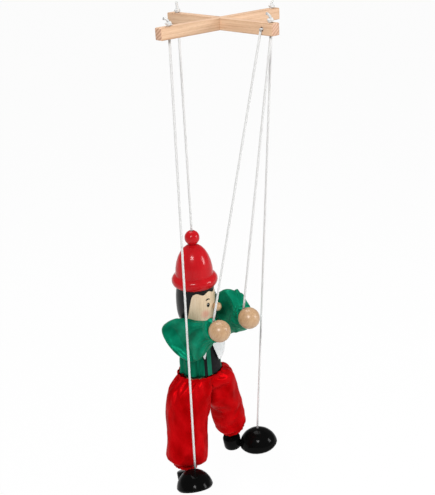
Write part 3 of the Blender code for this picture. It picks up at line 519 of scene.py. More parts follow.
def thicken(piece, thickness=CLOTH_THICKNESS, offset=0.0):
    """Gives a sheet its thickness, with crisp edges where it ends."""
    work = bmesh.new()
    work.from_mesh(piece.data)
    for edge in work.edges:
        edge.smooth = not edge.is_boundary
    work.to_mesh(piece.data)
    work.free()
    change = piece.modifiers.new("cloth_thickness", "SOLIDIFY")
    change.thickness = thickness * MM
    change.offset = offset


def dress(piece, body, slot, *replaced):
    """Puts a finished piece on its body, in place of the solids it stands for."""
    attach(piece, body)
    if replaced:
        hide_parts(*replaced)


def pin_weight(share, top, top_fade, low, low_fade):
    """How firmly cloth is held: at the top end, then free, then held again at the low end."""
    return max(1 - (share - top) / top_fade, (share - low) / low_fade)


def settle(piece, held, frames, grow, gravity, most):
    """Lets cloth wrinkle by simulation. held gives each point's pin weight; no point moves more than most."""
    mesh = piece.data
    rest = [point.co.copy() for point in mesh.vertices]
    middle = sum(rest, Vector()) / len(rest)
    for point, place in zip(mesh.vertices, rest):
        point.co = (place - middle) * SIMULATION_SCALE
    pins = piece.vertex_groups.new(name="held")
    for index, weight in enumerate(held):
        if weight > 0:
            pins.add([index], min(weight, 1.0), "REPLACE")
    change = piece.modifiers.new("cloth", "CLOTH")
    for key, value in CLOTH_VALUES.items():
        setattr(change.settings, key, value)
    change.settings.shrink_min = -grow
    change.settings.effector_weights.gravity = gravity
    change.collision_settings.use_collision = False
    change.point_cache.frame_end = frames
    for step in range(1, frames + 1):
        scene.frame_set(step)
    moved = piece.evaluated_get(bpy.context.evaluated_depsgraph_get()).data
    found = [point.co / SIMULATION_SCALE + middle for point in moved.vertices]
    piece.modifiers.remove(change)
    piece.vertex_groups.remove(pins)
    scene.frame_set(1)
    for point, place, new in zip(mesh.vertices, rest, found):
        step = new - place
        if step.length > most * MM:
            step = step.normalized() * most * MM
        point.co = place + step
    mesh.update()


def ease(piece, fixed):
    """Relaxes a sheet a little, to take single sharp points out of it."""
    work = bmesh.new()
    work.from_mesh(piece.data)
    work.verts.ensure_lookup_table()
    free = [point for point in work.verts if fixed[point.index] < 0.5]
    for _ in range(EASE_ROUNDS):
        bmesh.ops.smooth_vert(work, verts=free, factor=EASE_FACTOR, use_axis_x=True, use_axis_y=True,
                              use_axis_z=True)
    work.to_mesh(piece.data)
    work.free()


def part_off(piece, name, count):
    """Moves the faces that reach the last count points to a piece of their own."""
    other = bpy.data.objects.new(name, piece.data.copy())
    scene.collection.objects.link(other)
    edge = len(piece.data.vertices) - count
    for half, low_half in ((piece, False), (other, True)):
        work = bmesh.new()
        work.from_mesh(half.data)
        gone = [face for face in work.faces if any(point.index >= edge for point in face.verts) != low_half]
        bmesh.ops.delete(work, geom=gone, context="FACES")
        work.to_mesh(half.data)
        work.free()
    return other


# Camera, floor and light

FLOOR_LEVEL = -560.0
FLOOR_HALF = 30000.0
FLOOR_GLOW = 0.96
SKY_STRENGTH = 0.3
LAMP_AIM = (0, FIGURE_Y, -300)

camera = bpy.data.objects.new("camera", bpy.data.cameras.new("camera"))
scene.collection.objects.link(camera)
camera.data.lens = CAMERA_LENS
camera.data.clip_start = 0.01
basis = Matrix((CAMERA_RIGHT, CAMERA_UP, CAMERA_BACK)).transposed().to_4x4()
camera.matrix_world = Matrix.Translation(Vector(CAMERA_PLACE) * MM) @ basis
scene.camera = camera
scene.view_settings.view_transform = "Standard"


def seen_share(recipe):
    """1 for what the camera sees, straight or in a mirror."""
    light = recipe.add("LightPath").outputs
    mirrored = recipe.math("ADD", light["Is Glossy Ray"], light["Is Transmission Ray"])
    return recipe.math("ADD", light["Is Camera Ray"], mirrored, clamp=True)


def pale_floor():
    made = Recipe("pale_floor", Roughness=0.9, Specular_IOR_Level=0.1)
    speck = made.noise(0.05)
    made.set("Base Color", made.ramp(speck, (0.3, 0.7), FLOOR_TONES))
    glow = made.add("Emission", {"Color": (1, 1, 1, 1), "Strength": 1.0})
    share = made.math("MULTIPLY", seen_share(made), FLOOR_GLOW)
    both = made.add("MixShader", {0: share, 1: made.shader.outputs[0], 2: glow.outputs[0]})
    made.tree.links.new(both.outputs[0], made.tree.nodes["Material Output"].inputs["Surface"])
    return made.material


floor_ways = ((-1, -1), (1, -1), (1, 1), (-1, 1))
floor_corners = [(x * FLOOR_HALF, y * FLOOR_HALF, FLOOR_LEVEL) for x, y in floor_ways]
mesh_object("floor", floor_corners, [(0, 1, 2, 3)], pale_floor())

scene.world = bpy.data.worlds.new("studio")
scene.world.use_nodes = True
sky = scene.world.node_tree.nodes["Background"].inputs
sky["Color"].default_value = (1, 1, 1, 1)
sky["Strength"].default_value = SKY_STRENGTH


def soft_lamp(name, place, size, power):
    lamp = bpy.data.lights.new(name, "AREA")
    lamp.shape = "RECTANGLE"
    lamp.size, lamp.size_y = [side * MM for side in size]
    lamp.energy = power
    made = bpy.data.objects.new(name, lamp)
    scene.collection.objects.link(made)
    made.location = Vector(place) * MM
    aim = Vector(LAMP_AIM) - Vector(place)
    made.rotation_euler = aim.to_track_quat("-Z", "Y").to_euler()


soft_lamp("key", (-900, -700, 700), (340, 340), 15.0)
soft_lamp("fill", (700, -900, 100), (300, 420), 7.0)
soft_lamp("top", (200, 500, 900), (700, 700), 8.0)

# Head: a plain face on the wood

head_turn = rotation(HEAD_TURN, "Z")


def head_radius(z):
    if z > HEAD_WIDEST:
        share = (z - HEAD_WIDEST) / (HEAD_TOP - HEAD_WIDEST)
        return HEAD_WIDTH / 2 - (HEAD_WIDTH - HEAD_TOP_WIDTH) / 2 * share ** 2
    share = (HEAD_WIDEST - z) / (HEAD_WIDEST - HEAD_BOTTOM)
    return CHIN_WIDTH / 2 + (HEAD_WIDTH - CHIN_WIDTH) / 2 * sqrt(1 - min(share, 1.0) ** CHIN_POWER)


def face_point(theta, z, lift=0.0):
    """A point on the head; theta is measured from the middle of the face towards the figure's left."""
    angle = radians(theta)
    radius = head_radius(z) + lift
    place = head_turn @ Vector((radius * sin(angle), -radius * cos(angle), z))
    return place + Vector((0, FIGURE_Y, 0))


# Solids that stay

finishes = {
    "cross_bar": PINE_X, "spine_bar": PINE_Y, "cap": CAP_RED, "cap_knob": CAP_RED, "nose": BEECH,
    "head": face_wood(), "torso_block": DOWEL, "neck_eye": WIRE, "head_eye": WIRE,
}
limb_finishes = {"hand": BEECH, "arm_dowel": DOWEL, "leg_dowel": DOWEL, "heel": SHOE_BLACK, "toe": SHOE_BLACK}
for place in ("shoulder", "arm", "hip", "leg", "ankle", "heel"):
    limb_finishes[place + "_eye"] = WIRE
for side in SIDES:
    for piece, finish in limb_finishes.items():
        finishes[f"{side}_{piece}"] = finish
for node, finish in finishes.items():
    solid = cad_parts[node]
    solid.data.materials.clear()
    solid.data.materials.append(finish)
    solid.modifiers.new("one_skin", "WELD").merge_threshold = WELD * MM
    solid.data.shade_smooth()
    solid.modifiers.new("crisp_edges", "EDGE_SPLIT").split_angle = radians(CRISP_ANGLE)

# Painted hair and face

HAIR_LIFT = 0.25
HAIR_EDGE_LIFT = 0.3 * HAIR_LIFT
HAIR_THICKNESS = 0.2
HAIR_GRID = (14, 96)
HAIR_TOP = BRIM_BOTTOM + 0.6
HAIR_FRONT = 72.0
HAIR_FADE = 26.0
FRINGE = BRIM_BOTTOM - 3.0
FRINGE_WAVE = 1.1
FRINGE_WAVES = 9
NAPE = HEAD_BOTTOM + 7.5
NAPE_WAVE = 2.6
NAPE_WAVES = 11


def hair_point(across, down):
    """The painted hair ends in a short fringe in front, and is long at the sides and the nape."""
    theta = 360 * across - 180
    fringe = FRINGE - FRINGE_WAVE * cos(radians(theta * FRINGE_WAVES))
    nape = NAPE + NAPE_WAVE * cos(radians(theta * NAPE_WAVES))
    edge = blend_of(fringe, nape, rise(abs(theta), HAIR_FRONT, HAIR_FADE))
    return face_point(theta, blend_of(HAIR_TOP, edge, down), HAIR_LIFT if down < 1 else HAIR_EDGE_LIFT)


hair = formed("painted_hair", hair_point, *HAIR_GRID, HAIR_BLACK)
thicken(hair, HAIR_THICKNESS, -1.0)
dress(hair, "head", "black_gloss_paint")

EYE_THETA = 26.0
EYE_LEVEL = -262.0
EYE_HALF = (1.7, 2.2)
GLINT_TURN = 1.6
GLINT_RISE = 0.8
GLINT_HALF = (0.5, 0.55)
GLINT_LIFT = 0.42
SPOT_LIFT = 0.25
SPOT_SINK = 0.02
SPOT_RINGS = 5
SPOT_COUNT = 24
BROW_HALF = 7
BROW_RISE = 5
BROW_LIFT = 0.1
BROW_RADII = (0.25, 0.38, 0.45, 0.5, 0.5, 0.5, 0.45, 0.38, 0.25)
SMILE_HALF = 21
SMILE_LEVEL = -276.2
SMILE_DIP = 1.9
SMILE_LIFT = 0.05
SMILE_STEPS = 12
PAINT_SIDES = 8


def paint_spot(name, theta, z, half, finish, lift=SPOT_LIFT):
    """A domed dab of paint on the head."""
    half_wide, half_high = half
    middle = head_radius(z)
    points = [face_point(theta, z, lift)]
    for ring in range(1, SPOT_RINGS + 1):
        share = ring / SPOT_RINGS
        height = lift * sqrt(1 - share ** 2) - SPOT_SINK
        for step in range(SPOT_COUNT):
            angle = 2 * pi * step / SPOT_COUNT
            turn = degrees(half_wide * share * cos(angle) / middle)
            points.append(face_point(theta + turn, z + half_high * share * sin(angle), height))
    faces = [(0, 1 + step, 1 + (step + 1) % SPOT_COUNT) for step in range(SPOT_COUNT)]
    faces += [face for face, _ in quads(SPOT_RINGS - 1, SPOT_COUNT, SPOT_COUNT, 1)]
    dress(mesh_object(name, points, faces, finish), "head", "black_gloss_paint")


for side, sign in SIDES.items():
    theta = sign * EYE_THETA
    paint_spot(side + "_eye_dot", theta, EYE_LEVEL, EYE_HALF, HAIR_BLACK)
    glint_level = EYE_LEVEL + GLINT_RISE
    paint_spot(side + "_eye_glint", theta - GLINT_TURN, glint_level, GLINT_HALF, EYE_WHITE, GLINT_LIFT)
    brow = []
    for step in range(len(BROW_RADII)):
        share = step / (len(BROW_RADII) - 1)
        level = EYE_LEVEL + BROW_RISE + sin(pi * share)
        brow.append(face_point(sign * (EYE_THETA + blend_of(-BROW_HALF, BROW_HALF, share)), level, BROW_LIFT))
    dress(tube(side + "_brow", brow, BROW_RADII, HAIR_BLACK, PAINT_SIDES), "head", "black_gloss_paint")
smile = []
smile_radii = []
for step in range(SMILE_STEPS + 1):
    share = step / SMILE_STEPS
    bow = sin(pi * share)
    theta = blend_of(-SMILE_HALF, SMILE_HALF, share)
    smile.append(face_point(theta, SMILE_LEVEL - SMILE_DIP * bow, SMILE_LIFT))
    smile_radii.append(0.2 + 0.35 * bow)
dress(tube("mouth_line", smile, smile_radii, LIP_RED, PAINT_SIDES), "head", "red_gloss_paint")

# Cords and knots

CORD_POINTS = 20


for owner, (start, end) in CORD_RUNS.items():
    start = Vector(start)
    end = Vector(end)
    stop = end + (end - start).normalized() * CORD_SEAT
    line = [start.lerp(stop, step / (CORD_POINTS - 1)) for step in range(CORD_POINTS)]
    piece = tube(owner + "_cord", line, [CORD / 2] * CORD_POINTS, BRAID)
    dress(piece, owner + "_cord", "white_cord", owner + "_string")
    if owner != "head":
        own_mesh(piece)

# Each knot's place on the control, the way it stands out, how its tail leans and how deep it starts
KNOTS = {
    "head": ((0.0, 53.4, 0.0), (0, 0, 1), 4.0, 8.3),
    "left_hand": ((0.0, -57.0, 0.0), (0, 0, 1), 48.0, 8.3),
    "right_foot": ((-52.0, 0.0, 0.0), (0, 0, 1), 62.0, 8.3),
    "left_foot": ((57.0, 0.0, 0.0), (0, 0, 1), -40.0, 8.3),
    "right_hand": ((4.0, -51.4, -4.8), (1, 0, 0), 30.0, 9.8),
}
STUB_STEPS = 6
KNOT_TURN = 1.75
KNOT_ROUNDS = 2.25
KNOT_STEPS = 30
KNOT_START = 0.16
KNOT_FOOT = 1.1
KNOT_HEIGHT = 2.3
KNOT_TAIL = 5.0
TAIL_FOOT = 3.8
TAIL_STEPS = 5
TAIL_START = 0.6
TAIL_SPREAD = 1.15
KNOT_SIDES = 8


def knot_line(tail_turn, stub):
    """An overhand knot pulled tight: up through the hole, two rounds, and a short tail."""
    line = [Vector((0, 0, -stub * (1 - step / STUB_STEPS))) for step in range(STUB_STEPS)]
    for step in range(KNOT_STEPS + 1):
        share = step / KNOT_STEPS
        angle = 2 * pi * KNOT_ROUNDS * share
        reach = KNOT_TURN * sin(pi * min(1.0, KNOT_START + share)) ** 0.5
        level = KNOT_FOOT + KNOT_HEIGHT * share
        line.append(Vector((reach * cos(angle), reach * sin(angle), level)))
    for step in range(1, TAIL_STEPS + 1):
        share = step / TAIL_STEPS
        bend = radians(tail_turn) * blend_of(TAIL_START, 1.0, share)
        way = Vector((sin(bend), 0, cos(bend)))
        line.append(way * KNOT_TAIL * share + Vector((0, 0, TAIL_FOOT)))
    return line


for owner, (base, outward, tail_turn, stub) in KNOTS.items():
    turn = Vector(outward).to_track_quat("Z", "Y").to_matrix()
    line = [Vector(base) + turn @ point for point in knot_line(tail_turn, stub)]
    radii = [CORD / 2] * (len(line) - 1) + [CORD / 2 * TAIL_SPREAD]
    knot = tube(owner + "_tied_knot", line, radii, BRAID, KNOT_SIDES)
    dress(knot, "control", "white_cord", owner + "_knot")

# Torso clothes

JACKET_LOOSE = 2.2
JACKET_FLARE = 2.6
JACKET_OPENING = sided((6.8, 8.0), (14.0, 18.0))
JACKET_TUCK = 3.0
TUCK_LOOSE = 2.4
TUCK_EARLY = 0.25
JACKET_GRID = (47, 132)
JACKET_FOLD = 0.9
JACKET_FOLDS = (7, 13)
JACKET_RUMPLE = 1.1
JACKET_SAG = 0.8
FRONT_EDGE_OUT = 1.2
FRONT_EDGE_IN = 2.4
FRONT_EDGE_SHARE = 0.06


def torso_share(z):
    """Half size of the torso at a level, as a share of its full half size."""
    drop = TORSO_TOP - z
    taper = 1 - TORSO_TAPER * smooth_step((drop / TORSO_HEIGHT - 0.25) / 0.6)
    return blend_of(TORSO_TOP_SHARE, 1.0, quarter_round(drop / TORSO_ROUND)) * taper


def jacket_halves(z):
    """Half the width and half the depth of the jacket at a level."""
    share = max(0.0, (JACKET_TOP - z) / JACKET_LENGTH)
    scale = torso_share(z)
    return [half * scale + JACKET_LOOSE + JACKET_FLARE * share ** 1.6 for half in TORSO_HALVES]


def torso_point(halves, angle, z):
    """A point on an oval round the torso."""
    return Vector((halves[0] * cos(angle), FIGURE_Y + halves[1] * sin(angle), z))


def jacket_point(across, share):
    """across runs from the right front edge round the back to the left one, share from the neck down to
    the end that is tucked into the trousers. down is 1 at the waist."""
    down = (JACKET_LENGTH + JACKET_TUCK) / JACKET_LENGTH * share
    z = JACKET_TOP - JACKET_LENGTH * down
    tuck = smooth_step((down - 1) * JACKET_LENGTH / JACKET_TUCK + TUCK_EARLY)
    halves = jacket_halves(z)
    edges = {side: asin(blend_of(*JACKET_OPENING[side], down) / halves[0]) for side in SIDES}
    angle = -pi / 2 - edges["right"] - (2 * pi - edges["right"] - edges["left"]) * across
    fold = JACKET_FOLD * (cos(JACKET_FOLDS[0] * angle) + cos(JACKET_FOLDS[1] * angle + 1.2)) * down ** 1.1
    spot = Vector((3.2 * cos(angle), 3.2 * sin(angle), 3.0 * down + 4))
    out = fold + JACKET_RUMPLE * noise.noise(spot) * smooth_step(down * 5)
    out += FRONT_EDGE_OUT * (1 - smooth_step(across / FRONT_EDGE_SHARE)) * down
    out -= FRONT_EDGE_IN * rise(across, 0.9, 0.1)
    sag = JACKET_SAG * sin(5 * angle + 0.6) * down * (1 - tuck)
    tucked = [half * torso_share(z) + TUCK_LOOSE for half in TORSO_HALVES]
    halves = [blend_of(half + out, end, tuck) for half, end in zip(halves, tucked)]
    return torso_point(halves, angle, z - sag)


# The jacket wears the darker satin: painted shade.
jacket = formed("satin_jacket", jacket_point, *JACKET_GRID, SHADED_JACKET_GREEN, closed=False)
thicken(jacket)
dress(jacket, "torso", "green_satin", "jacket")

VEST_OVER = 1.2
VEST_UNDER = 1.4
VEST_WAVE = 0.3
VEST_LEVELS = (0.12, 1.02)
VEST_FROM = -34.0
VEST_TO = 74.0
VEST_FADES = (12, 14)
VEST_GRID = (30, 60)


def vest_point(across, down):
    """across runs from under the right front edge of the jacket to under the left one."""
    z = JACKET_TOP - JACKET_LENGTH * blend_of(*VEST_LEVELS, down)
    turn = blend_of(VEST_FROM, VEST_TO, across)
    angle = radians(turn - 90)
    shown = rise(turn, VEST_FROM, VEST_FADES[0]) * smooth_step((VEST_TO - turn) / VEST_FADES[1])
    wave = VEST_WAVE * noise.noise(Vector((turn / 16, 2.2 * down, 3.0)))
    out = blend_of(VEST_OVER + wave * down, -VEST_UNDER, 1 - shown)
    return torso_point([half + out for half in jacket_halves(z)], angle, z)


vest = formed("striped_vest", vest_point, *VEST_GRID, vest_cloth(), closed=False)
thicken(vest)
dress(vest, "torso", "striped_cloth", "vest")

COLLAR_FOLD = 23.0
COLLAR_NECK = 11.0
COLLAR_OVER = 7.0
OVER_SHARE = 0.7
COLLAR_BACK = 4.0
COLLAR_POINT = sided(30.0, 38.0)
COLLAR_TIP = sided(20.0, 22.0)
COLLAR_SQUARE = sided(20.0, 46.0)
COLLAR_FADE = 20.0
COLLAR_RISE = sided(1.0, 0.6)
TIP_SHARE = sided(1.0, 0.93)
COLLAR_OUT = 2.1
COLLAR_LIFT = 4.0
LIFT_TURN = 40.0
COLLAR_THICKNESS = 0.7
COLLAR_GRID = (18, 144)
NECK_SHARE = 3 / COLLAR_GRID[0]


def collar_turn(angle):
    """Degrees from the middle of the front towards the figure's left."""
    return (degrees(angle) + 90 + 180) % 360 - 180


def collar_reach(angle):
    """How far the collar runs past its fold, longest at the two front flaps."""
    turn = collar_turn(angle)
    side = "left" if turn > 0 else "right"
    away = abs(turn)
    reach = TIP_SHARE[side] * min(away / COLLAR_TIP[side], 1.0) ** COLLAR_RISE[side]
    reach += (1 - TIP_SHARE[side]) * rise(away, COLLAR_TIP[side], COLLAR_FADE)
    reach *= 1 - rise(away, COLLAR_SQUARE[side], COLLAR_FADE)
    return blend_of(COLLAR_BACK, COLLAR_POINT[side], reach)


def collar_place(angle, along):
    """A point of the collar: flat at the neck, over the jacket's edge, then down outside the jacket."""
    top = TORSO_TOP + GAP
    edge = JACKET_TOP + 2 * GAP
    folds = (COLLAR_FOLD / 2, COLLAR_FOLD / 2 * TORSO_DEPTH / TORSO_WIDTH)
    if along < 0:
        return torso_point([blend_of(COLLAR_NECK / 2, fold, 1 + along) for fold in folds], angle, top)
    over = smooth_step(along / COLLAR_OVER)
    below = max(0.0, along - COLLAR_OVER)
    level = blend_of(top, edge, over) - below
    hang = min(1.0, below / (COLLAR_POINT["left"] - COLLAR_OVER))
    lift = COLLAR_LIFT * smooth_step(collar_turn(angle) / LIFT_TURN) * sin(pi * hang) ** 0.7
    outside = [half + COLLAR_OUT + lift for half in jacket_halves(min(level, JACKET_TOP))]
    return torso_point([blend_of(*ends, over) for ends in zip(folds, outside)], angle, level)


def collar_point(across, down):
    """The first rows lie at the neck, half of the rest in the fold, and the others on what hangs down."""
    angle = 2 * pi * across - pi / 2
    if down <= NECK_SHARE:
        return collar_place(angle, down / NECK_SHARE - 1)
    share = (down - NECK_SHARE) / (1 - NECK_SHARE)
    reach = collar_reach(angle)
    fold = min(OVER_SHARE * reach, COLLAR_OVER)
    return collar_place(angle, fold * min(share * 2, 1.0) + (reach - fold) * max(share * 2 - 1, 0.0))


collar = formed("cotton_collar", collar_point, *COLLAR_GRID, WHITE)
thicken(collar, COLLAR_THICKNESS, 1.0)
dress(collar, "torso", "white_cotton", "collar")

# Sleeves; the sizes of a ring are outward, towards the body, up and down

SLEEVE_BACK = 10.0
SLEEVE_LENGTH = 55.0
SLEEVE_OUT = sided((12.5, 7.0), (15.0, 15.0))
SLEEVE_IN = sided((4.4, 7.2), (4.4, 6.0))
SLEEVE_UP = sided(22.5, 29.5)
SLEEVE_DOWN = sided(17.0, 8.0)
CUFF_OUT = sided(7.4, 9.5)
CUFF_IN = sided(8.5, 6.2)
CUFF_UP = 12.5
CUFF_DOWN = sided(7.5, 6.2)
PUFF_SHARES = sided((0.25, 0.25, 0.12, 0.25), (0.25, 0.25, 0.2, 0.25))
FULL_SHARES = sided((0.3, 0.3, 0.3, 0.42), (0.76, 0.76, 0.76, 0.76))
CUFF_SHARE = sided(0.9, 0.94)
SLEEVE_SLANT = sided(0.36, 0.0)
SLANT_SHARE = 0.55
SLEEVE_BOX = 0.8
SLEEVE_JOIN = 7.0
CUFF_FLARE = 0.06
STITCH_DEPTH = 0.05
STITCH_SHARE = 0.018
SLEEVE_PLEATS = 13
SLEEVE_FOLDS = 6
FOLD_DEPTH = 0.05
RUMPLE_DEPTH = 0.08
GATHER_RUN = (0.35, 0.5)
OUTER_RUN = (0.1, 0.25)
INNER_RUN = (0.42, 0.2)
JOIN_RUN = (0.2, 0.2)
JOIN_RISE = (-14, 10)
SLEEVE_CLOTH = {"frames": 24, "grow": 0.09, "gravity": 0.0, "most": 2.2}
SLEEVE_PINS = (0.0, 0.08, 0.86, 0.03)
SLEEVE_ROWS = 60
SLEEVE_COUNT = 96
FIRST_SHARE = 0.002
ROW_CROWDING = 1.25
TURNED_IN = 4
MOUTH_RADIUS = 7.6
MOUTH_BACK = 0.5
HEAD_ROOM = 1.2
JACKET_ROOM = 0.6
LIFT_STEPS = 6


def sleeve_ring(share, side):
    """One ring of a puffed sleeve in the arm's frame: full at the shoulder, drawn in at the wrist."""
    along = -SLEEVE_BACK + (SLEEVE_BACK + SLEEVE_LENGTH) * share
    wrist = CUFF_SHARE[side]
    puffs = [quarter_round(share / part) for part in PUFF_SHARES[side]]
    tapers = [rise(share, part, wrist - part) for part in FULL_SHARES[side]]
    puff = puffs[0]
    taper = tapers[0]
    frill = 1 + CUFF_FLARE * rise(share, wrist, 1 - wrist)
    stitch = STITCH_DEPTH * exp(-((share - wrist) / STITCH_SHARE) ** 2)
    gather = rise(share, *GATHER_RUN)
    slant = SLEEVE_SLANT[side] * (1 - smooth_step(share / SLANT_SHARE))
    full_out = blend_of(*SLEEVE_OUT[side], rise(share, *OUTER_RUN))
    full_in = blend_of(*SLEEVE_IN[side], rise(share, *INNER_RUN))
    full_sizes = (full_out, full_in, SLEEVE_UP[side], SLEEVE_DOWN[side])
    cuff_sizes = (CUFF_OUT[side], CUFF_IN[side], CUFF_UP, CUFF_DOWN[side])
    sizes = zip(puffs, full_sizes, cuff_sizes, tapers)
    out, body_side, up, down = [part * blend_of(full, cuff, draw) for part, full, cuff, draw in sizes]
    ring = []
    for step in range(SLEEVE_COUNT):
        angle = 2 * pi * step / SLEEVE_COUNT
        round_part = (cos(angle), sin(angle))
        x, y = [copysign(abs(part) ** SLEEVE_BOX, part) for part in round_part]
        soft = noise.noise(Vector((1.6 * round_part[0], 1.6 * round_part[1] + 5 * SIDES[side], 3.4 * share)))
        pleat = PLEAT_DEPTH * gather * cos(SLEEVE_PLEATS * angle + 4 * soft) - stitch
        pleat += FOLD_DEPTH * gather * cos(SLEEVE_FOLDS * angle + 5 * soft) * (1 - taper * 0.6)
        pleat += RUMPLE_DEPTH * soft * puff
        scale = frill * (1 + pleat)
        height = (down - up) / 2 + (down + up) / 2 * y * scale
        join = SLEEVE_JOIN * (1 - rise(share, *JOIN_RUN)) * rise(height, *JOIN_RISE)
        half_x = out if x * SIDES[side] > 0 else body_side + join * puff
        ring.append(Vector((half_x * x * scale, height, -along - slant * (height + SLEEVE_UP[side]))))
    return ring


def cuff_mouth(hem, share):
    """A ring of the cloth that is turned in at the cuff, from the hem towards the wrist."""
    ring = []
    for point in hem:
        flat_way = Vector((point.x, point.y, 0)).normalized()
        mouth = flat_way * MOUTH_RADIUS + Vector((0, 0, MOUTH_BACK - SLEEVE_LENGTH))
        ring.append(point.lerp(mouth, share))
    return ring


def clear_of_jacket(place):
    """Moves a point of a sleeve out of the jacket."""
    level = min(place.z, JACKET_TOP)
    half_x, half_y = [half + JACKET_ROOM for half in jacket_halves(level)]
    inside = hypot(place.x / half_x, (place.y - FIGURE_Y) / half_y)
    if inside >= 1 or level <= WAIST:
        return place
    out = 1 / max(inside, 0.2)
    return Vector((place.x * out, FIGURE_Y + (place.y - FIGURE_Y) * out, place.z))


def clear_of_head(place, pivot):
    """How far out a point of a sleeve has to be, so that it passes the head as the arm lifts."""
    least = 0.0
    for step in range(LIFT_STEPS + 1):
        lift = rotation(-ARM_LIFT * step / LIFT_STEPS, "X")
        lifted = pivot + lift @ (place - pivot)
        if lifted.z > HEAD_BOTTOM - HEAD_ROOM:
            radius = head_radius(min(max(lifted.z, HEAD_BOTTOM), HEAD_TOP)) + HEAD_ROOM
            least = max(least, sqrt(max(0.0, radius ** 2 - (lifted.y - FIGURE_Y) ** 2)))
    return least


for side, sign in SIDES.items():
    shoulder = Vector((sign * SHOULDER_X, FIGURE_Y, SHOULDER_Z))
    turn = rotation(-sign * ARM_INWARD, "Z") @ rotation(-90 - ARM_RAISE, "X")
    rings = []
    held = []
    for row in range(SLEEVE_ROWS + 1):
        share = blend_of(FIRST_SHARE, 1.0, (row / SLEEVE_ROWS) ** ROW_CROWDING)
        rings.append(sleeve_ring(share, side))
        held += [pin_weight(share, *SLEEVE_PINS)] * SLEEVE_COUNT
    hem = rings[-1]
    for row in range(1, TURNED_IN + 1):
        rings.append(cuff_mouth(hem, row / TURNED_IN))
        held += [1.0] * SLEEVE_COUNT
    rows = [[shoulder + turn @ point for point in ring] for ring in rings]
    sleeve = grid(side + "_satin_sleeve", rows, GREEN)
    settle(sleeve, held, **SLEEVE_CLOTH)
    ease(sleeve, held)
    for point in sleeve.data.vertices:
        place = clear_of_jacket(point.co / MM)
        place.x = sign * max(sign * place.x, clear_of_head(place, shoulder))
        point.co = place * MM
    thicken(sleeve)
    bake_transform(sleeve)
    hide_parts(side + "_sleeve")

# Trousers

LEG_WIDTH = sided(38.0, 26.5)
LEG_DEPTH = sided(36.0, 32.0)
LEG_SHIFT = sided(4.8, 10.0)
HEM_SHIFT = sided(0.0, 3.5)
HEM_FLARE = sided(0.0, 3.0)
CLOTH_END = sided(80.75, 74.6)
SEAT_ROUND = sided(0.85, 1.15)
INNER_TOP = sided(3.0, 6.5)
INNER_FLARE = sided(2.4, 0.0)
HEM_FLARE_RUN = (20, 35)
INNER_TOP_RUN = (12, 24)
INNER_FLARE_RUN = (25, 25)
LOOSE_RUN = 20.0
CUFF_WIDTH = 22.0
CUFF_HEIGHT = 13.0
FRILL_HEIGHT = 4.0
HEM_FRILL = sided(0.02, 0.1)
HEM_PLEATS = 15
WAIST_LOOSE = 5.0
WAIST_HEADER = 4.0
HEADER_OUT = 2.6
WAIST_GATHER = 11.0
WAIST_PLEATS = 19
BROAD_FOLD = 0.1
RIDGE_FOLD = 0.045
HALF_GAP = 0.15
TROUSER_CLOTH = {"frames": 26, "grow": 0.1, "gravity": 0.02, "most": 2.6}
TROUSER_PINS = (0.05, 0.03, 0.93, 0.02)
TROUSER_ROWS = 84
TROUSER_COUNT = 112
HEM_ROWS = 16


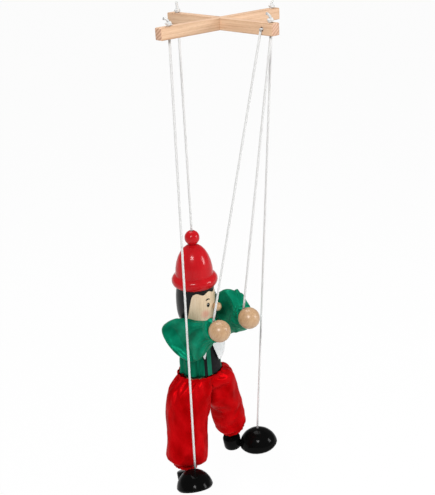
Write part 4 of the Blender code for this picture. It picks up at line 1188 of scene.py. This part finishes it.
def trouser_ring(share, side):
    """One ring of one half of the trousers, from the frilled waist to the frilled hem."""
    sign = SIDES[side]
    splay = radians(LEG_SPLAY[side])
    swing = radians(LEG_SWING[side])
    top = (WAIST - HIP_Z) / (cos(splay) * cos(swing))
    along = -top + (top + CLOTH_END[side]) * share
    level = HIP_Z - along * cos(splay) * cos(swing)
    seat = min((WAIST - level) / SEAT_DEPTH, 1.0)
    full = sin(pi / 2 * seat) ** SEAT_ROUND[side]
    leg = smooth_step(seat)
    scale = torso_share(max(level, TORSO_BOTTOM))
    waist_x, waist_y = [half * scale + WAIST_LOOSE for half in TORSO_HALVES]
    lower = smooth_step(along / (LEG_LENGTH - CUFF_HEIGHT))
    leg_x = HIP_X + along * sin(splay) + blend_of(LEG_SHIFT[side], HEM_SHIFT[side], lower)
    flare = HEM_FLARE[side] * rise(along, *HEM_FLARE_RUN)
    outer = blend_of(waist_x, leg_x + LEG_WIDTH[side] / 2 + flare, full)
    reach_in = LEG_WIDTH[side] / 2 + INNER_TOP[side] * (1 - rise(along, *INNER_TOP_RUN))
    reach_in += INNER_FLARE[side] * rise(along, *INNER_FLARE_RUN)
    inner = blend_of(-waist_x, leg_x - reach_in, leg)
    from_top = along + top
    from_hem = CLOTH_END[side] - along
    drawn = smooth_step((CUFF_HEIGHT - from_hem) / (CUFF_HEIGHT - FRILL_HEIGHT))
    frill = 1 + HEM_FRILL[side] * smooth_step((FRILL_HEIGHT - from_hem) / FRILL_HEIGHT)
    half_x = blend_of((outer - inner) / 2, CUFF_WIDTH / 2, drawn)
    half_y = blend_of(blend_of(waist_y, LEG_DEPTH[side] / 2, full), CUFF_WIDTH / 2, drawn)
    tilt = splay * leg
    middle = Vector((sign * (outer + inner) / 2, FIGURE_Y + leg * along * sin(swing), level))
    header = HEADER_OUT * smooth_step((WAIST_HEADER - from_top) / WAIST_HEADER)
    waist = 1 - rise(from_top, WAIST_HEADER, WAIST_GATHER)
    loose = smooth_step(from_top / LOOSE_RUN) * (1 - drawn)
    ring = []
    for step in range(TROUSER_COUNT):
        angle = 2 * pi * step / TROUSER_COUNT
        round_x = cos(angle)
        round_y = sin(angle)
        broad = noise.noise(Vector((1.3 * round_x, 1.3 * round_y + 7 * sign, along / 34)))
        ridge_spot = Vector((2.1 * round_x + 3, 2.1 * round_y - along / 60, along / 21 + 9 * sign))
        ridge = 1 - 2 * abs(noise.noise(ridge_spot))
        fold = loose * (BROAD_FOLD * broad + RIDGE_FOLD * ridge)
        pleat = PLEAT_DEPTH * drawn * cos(HEM_PLEATS * angle + 5 * broad)
        pleat += PLEAT_DEPTH * waist * cos(WAIST_PLEATS * angle + sign + 4 * broad)
        size = (1 + fold) * (1 + pleat) * frill
        x = (half_x * size + header) * round_x
        y = (half_y * size + header) * round_y
        place = middle + Vector((x * cos(tilt), y, sign * x * sin(tilt)))
        place.x = sign * max(sign * place.x, HALF_GAP)
        ring.append(place)
    return ring


for side, sign in SIDES.items():
    rows = []
    held = []
    for row in range(TROUSER_ROWS + 1):
        share = row / TROUSER_ROWS
        rows.append(trouser_ring(share, side))
        held += [pin_weight(share, *TROUSER_PINS)] * TROUSER_COUNT
    trousers = grid(side + "_satin_trousers", rows, RED)
    settle(trousers, held, **TROUSER_CLOTH)
    ease(trousers, held)
    for point in trousers.data.vertices:
        point.co.x = sign * max(sign * point.co.x, HALF_GAP * MM)
    hem = part_off(trousers, side + "_satin_hem", HEM_ROWS * TROUSER_COUNT)
    thicken(trousers)
    thicken(hem)
    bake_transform(hem)
    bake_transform(trousers)
    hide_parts(side + "_trouser_leg")
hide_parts("trouser_seat")
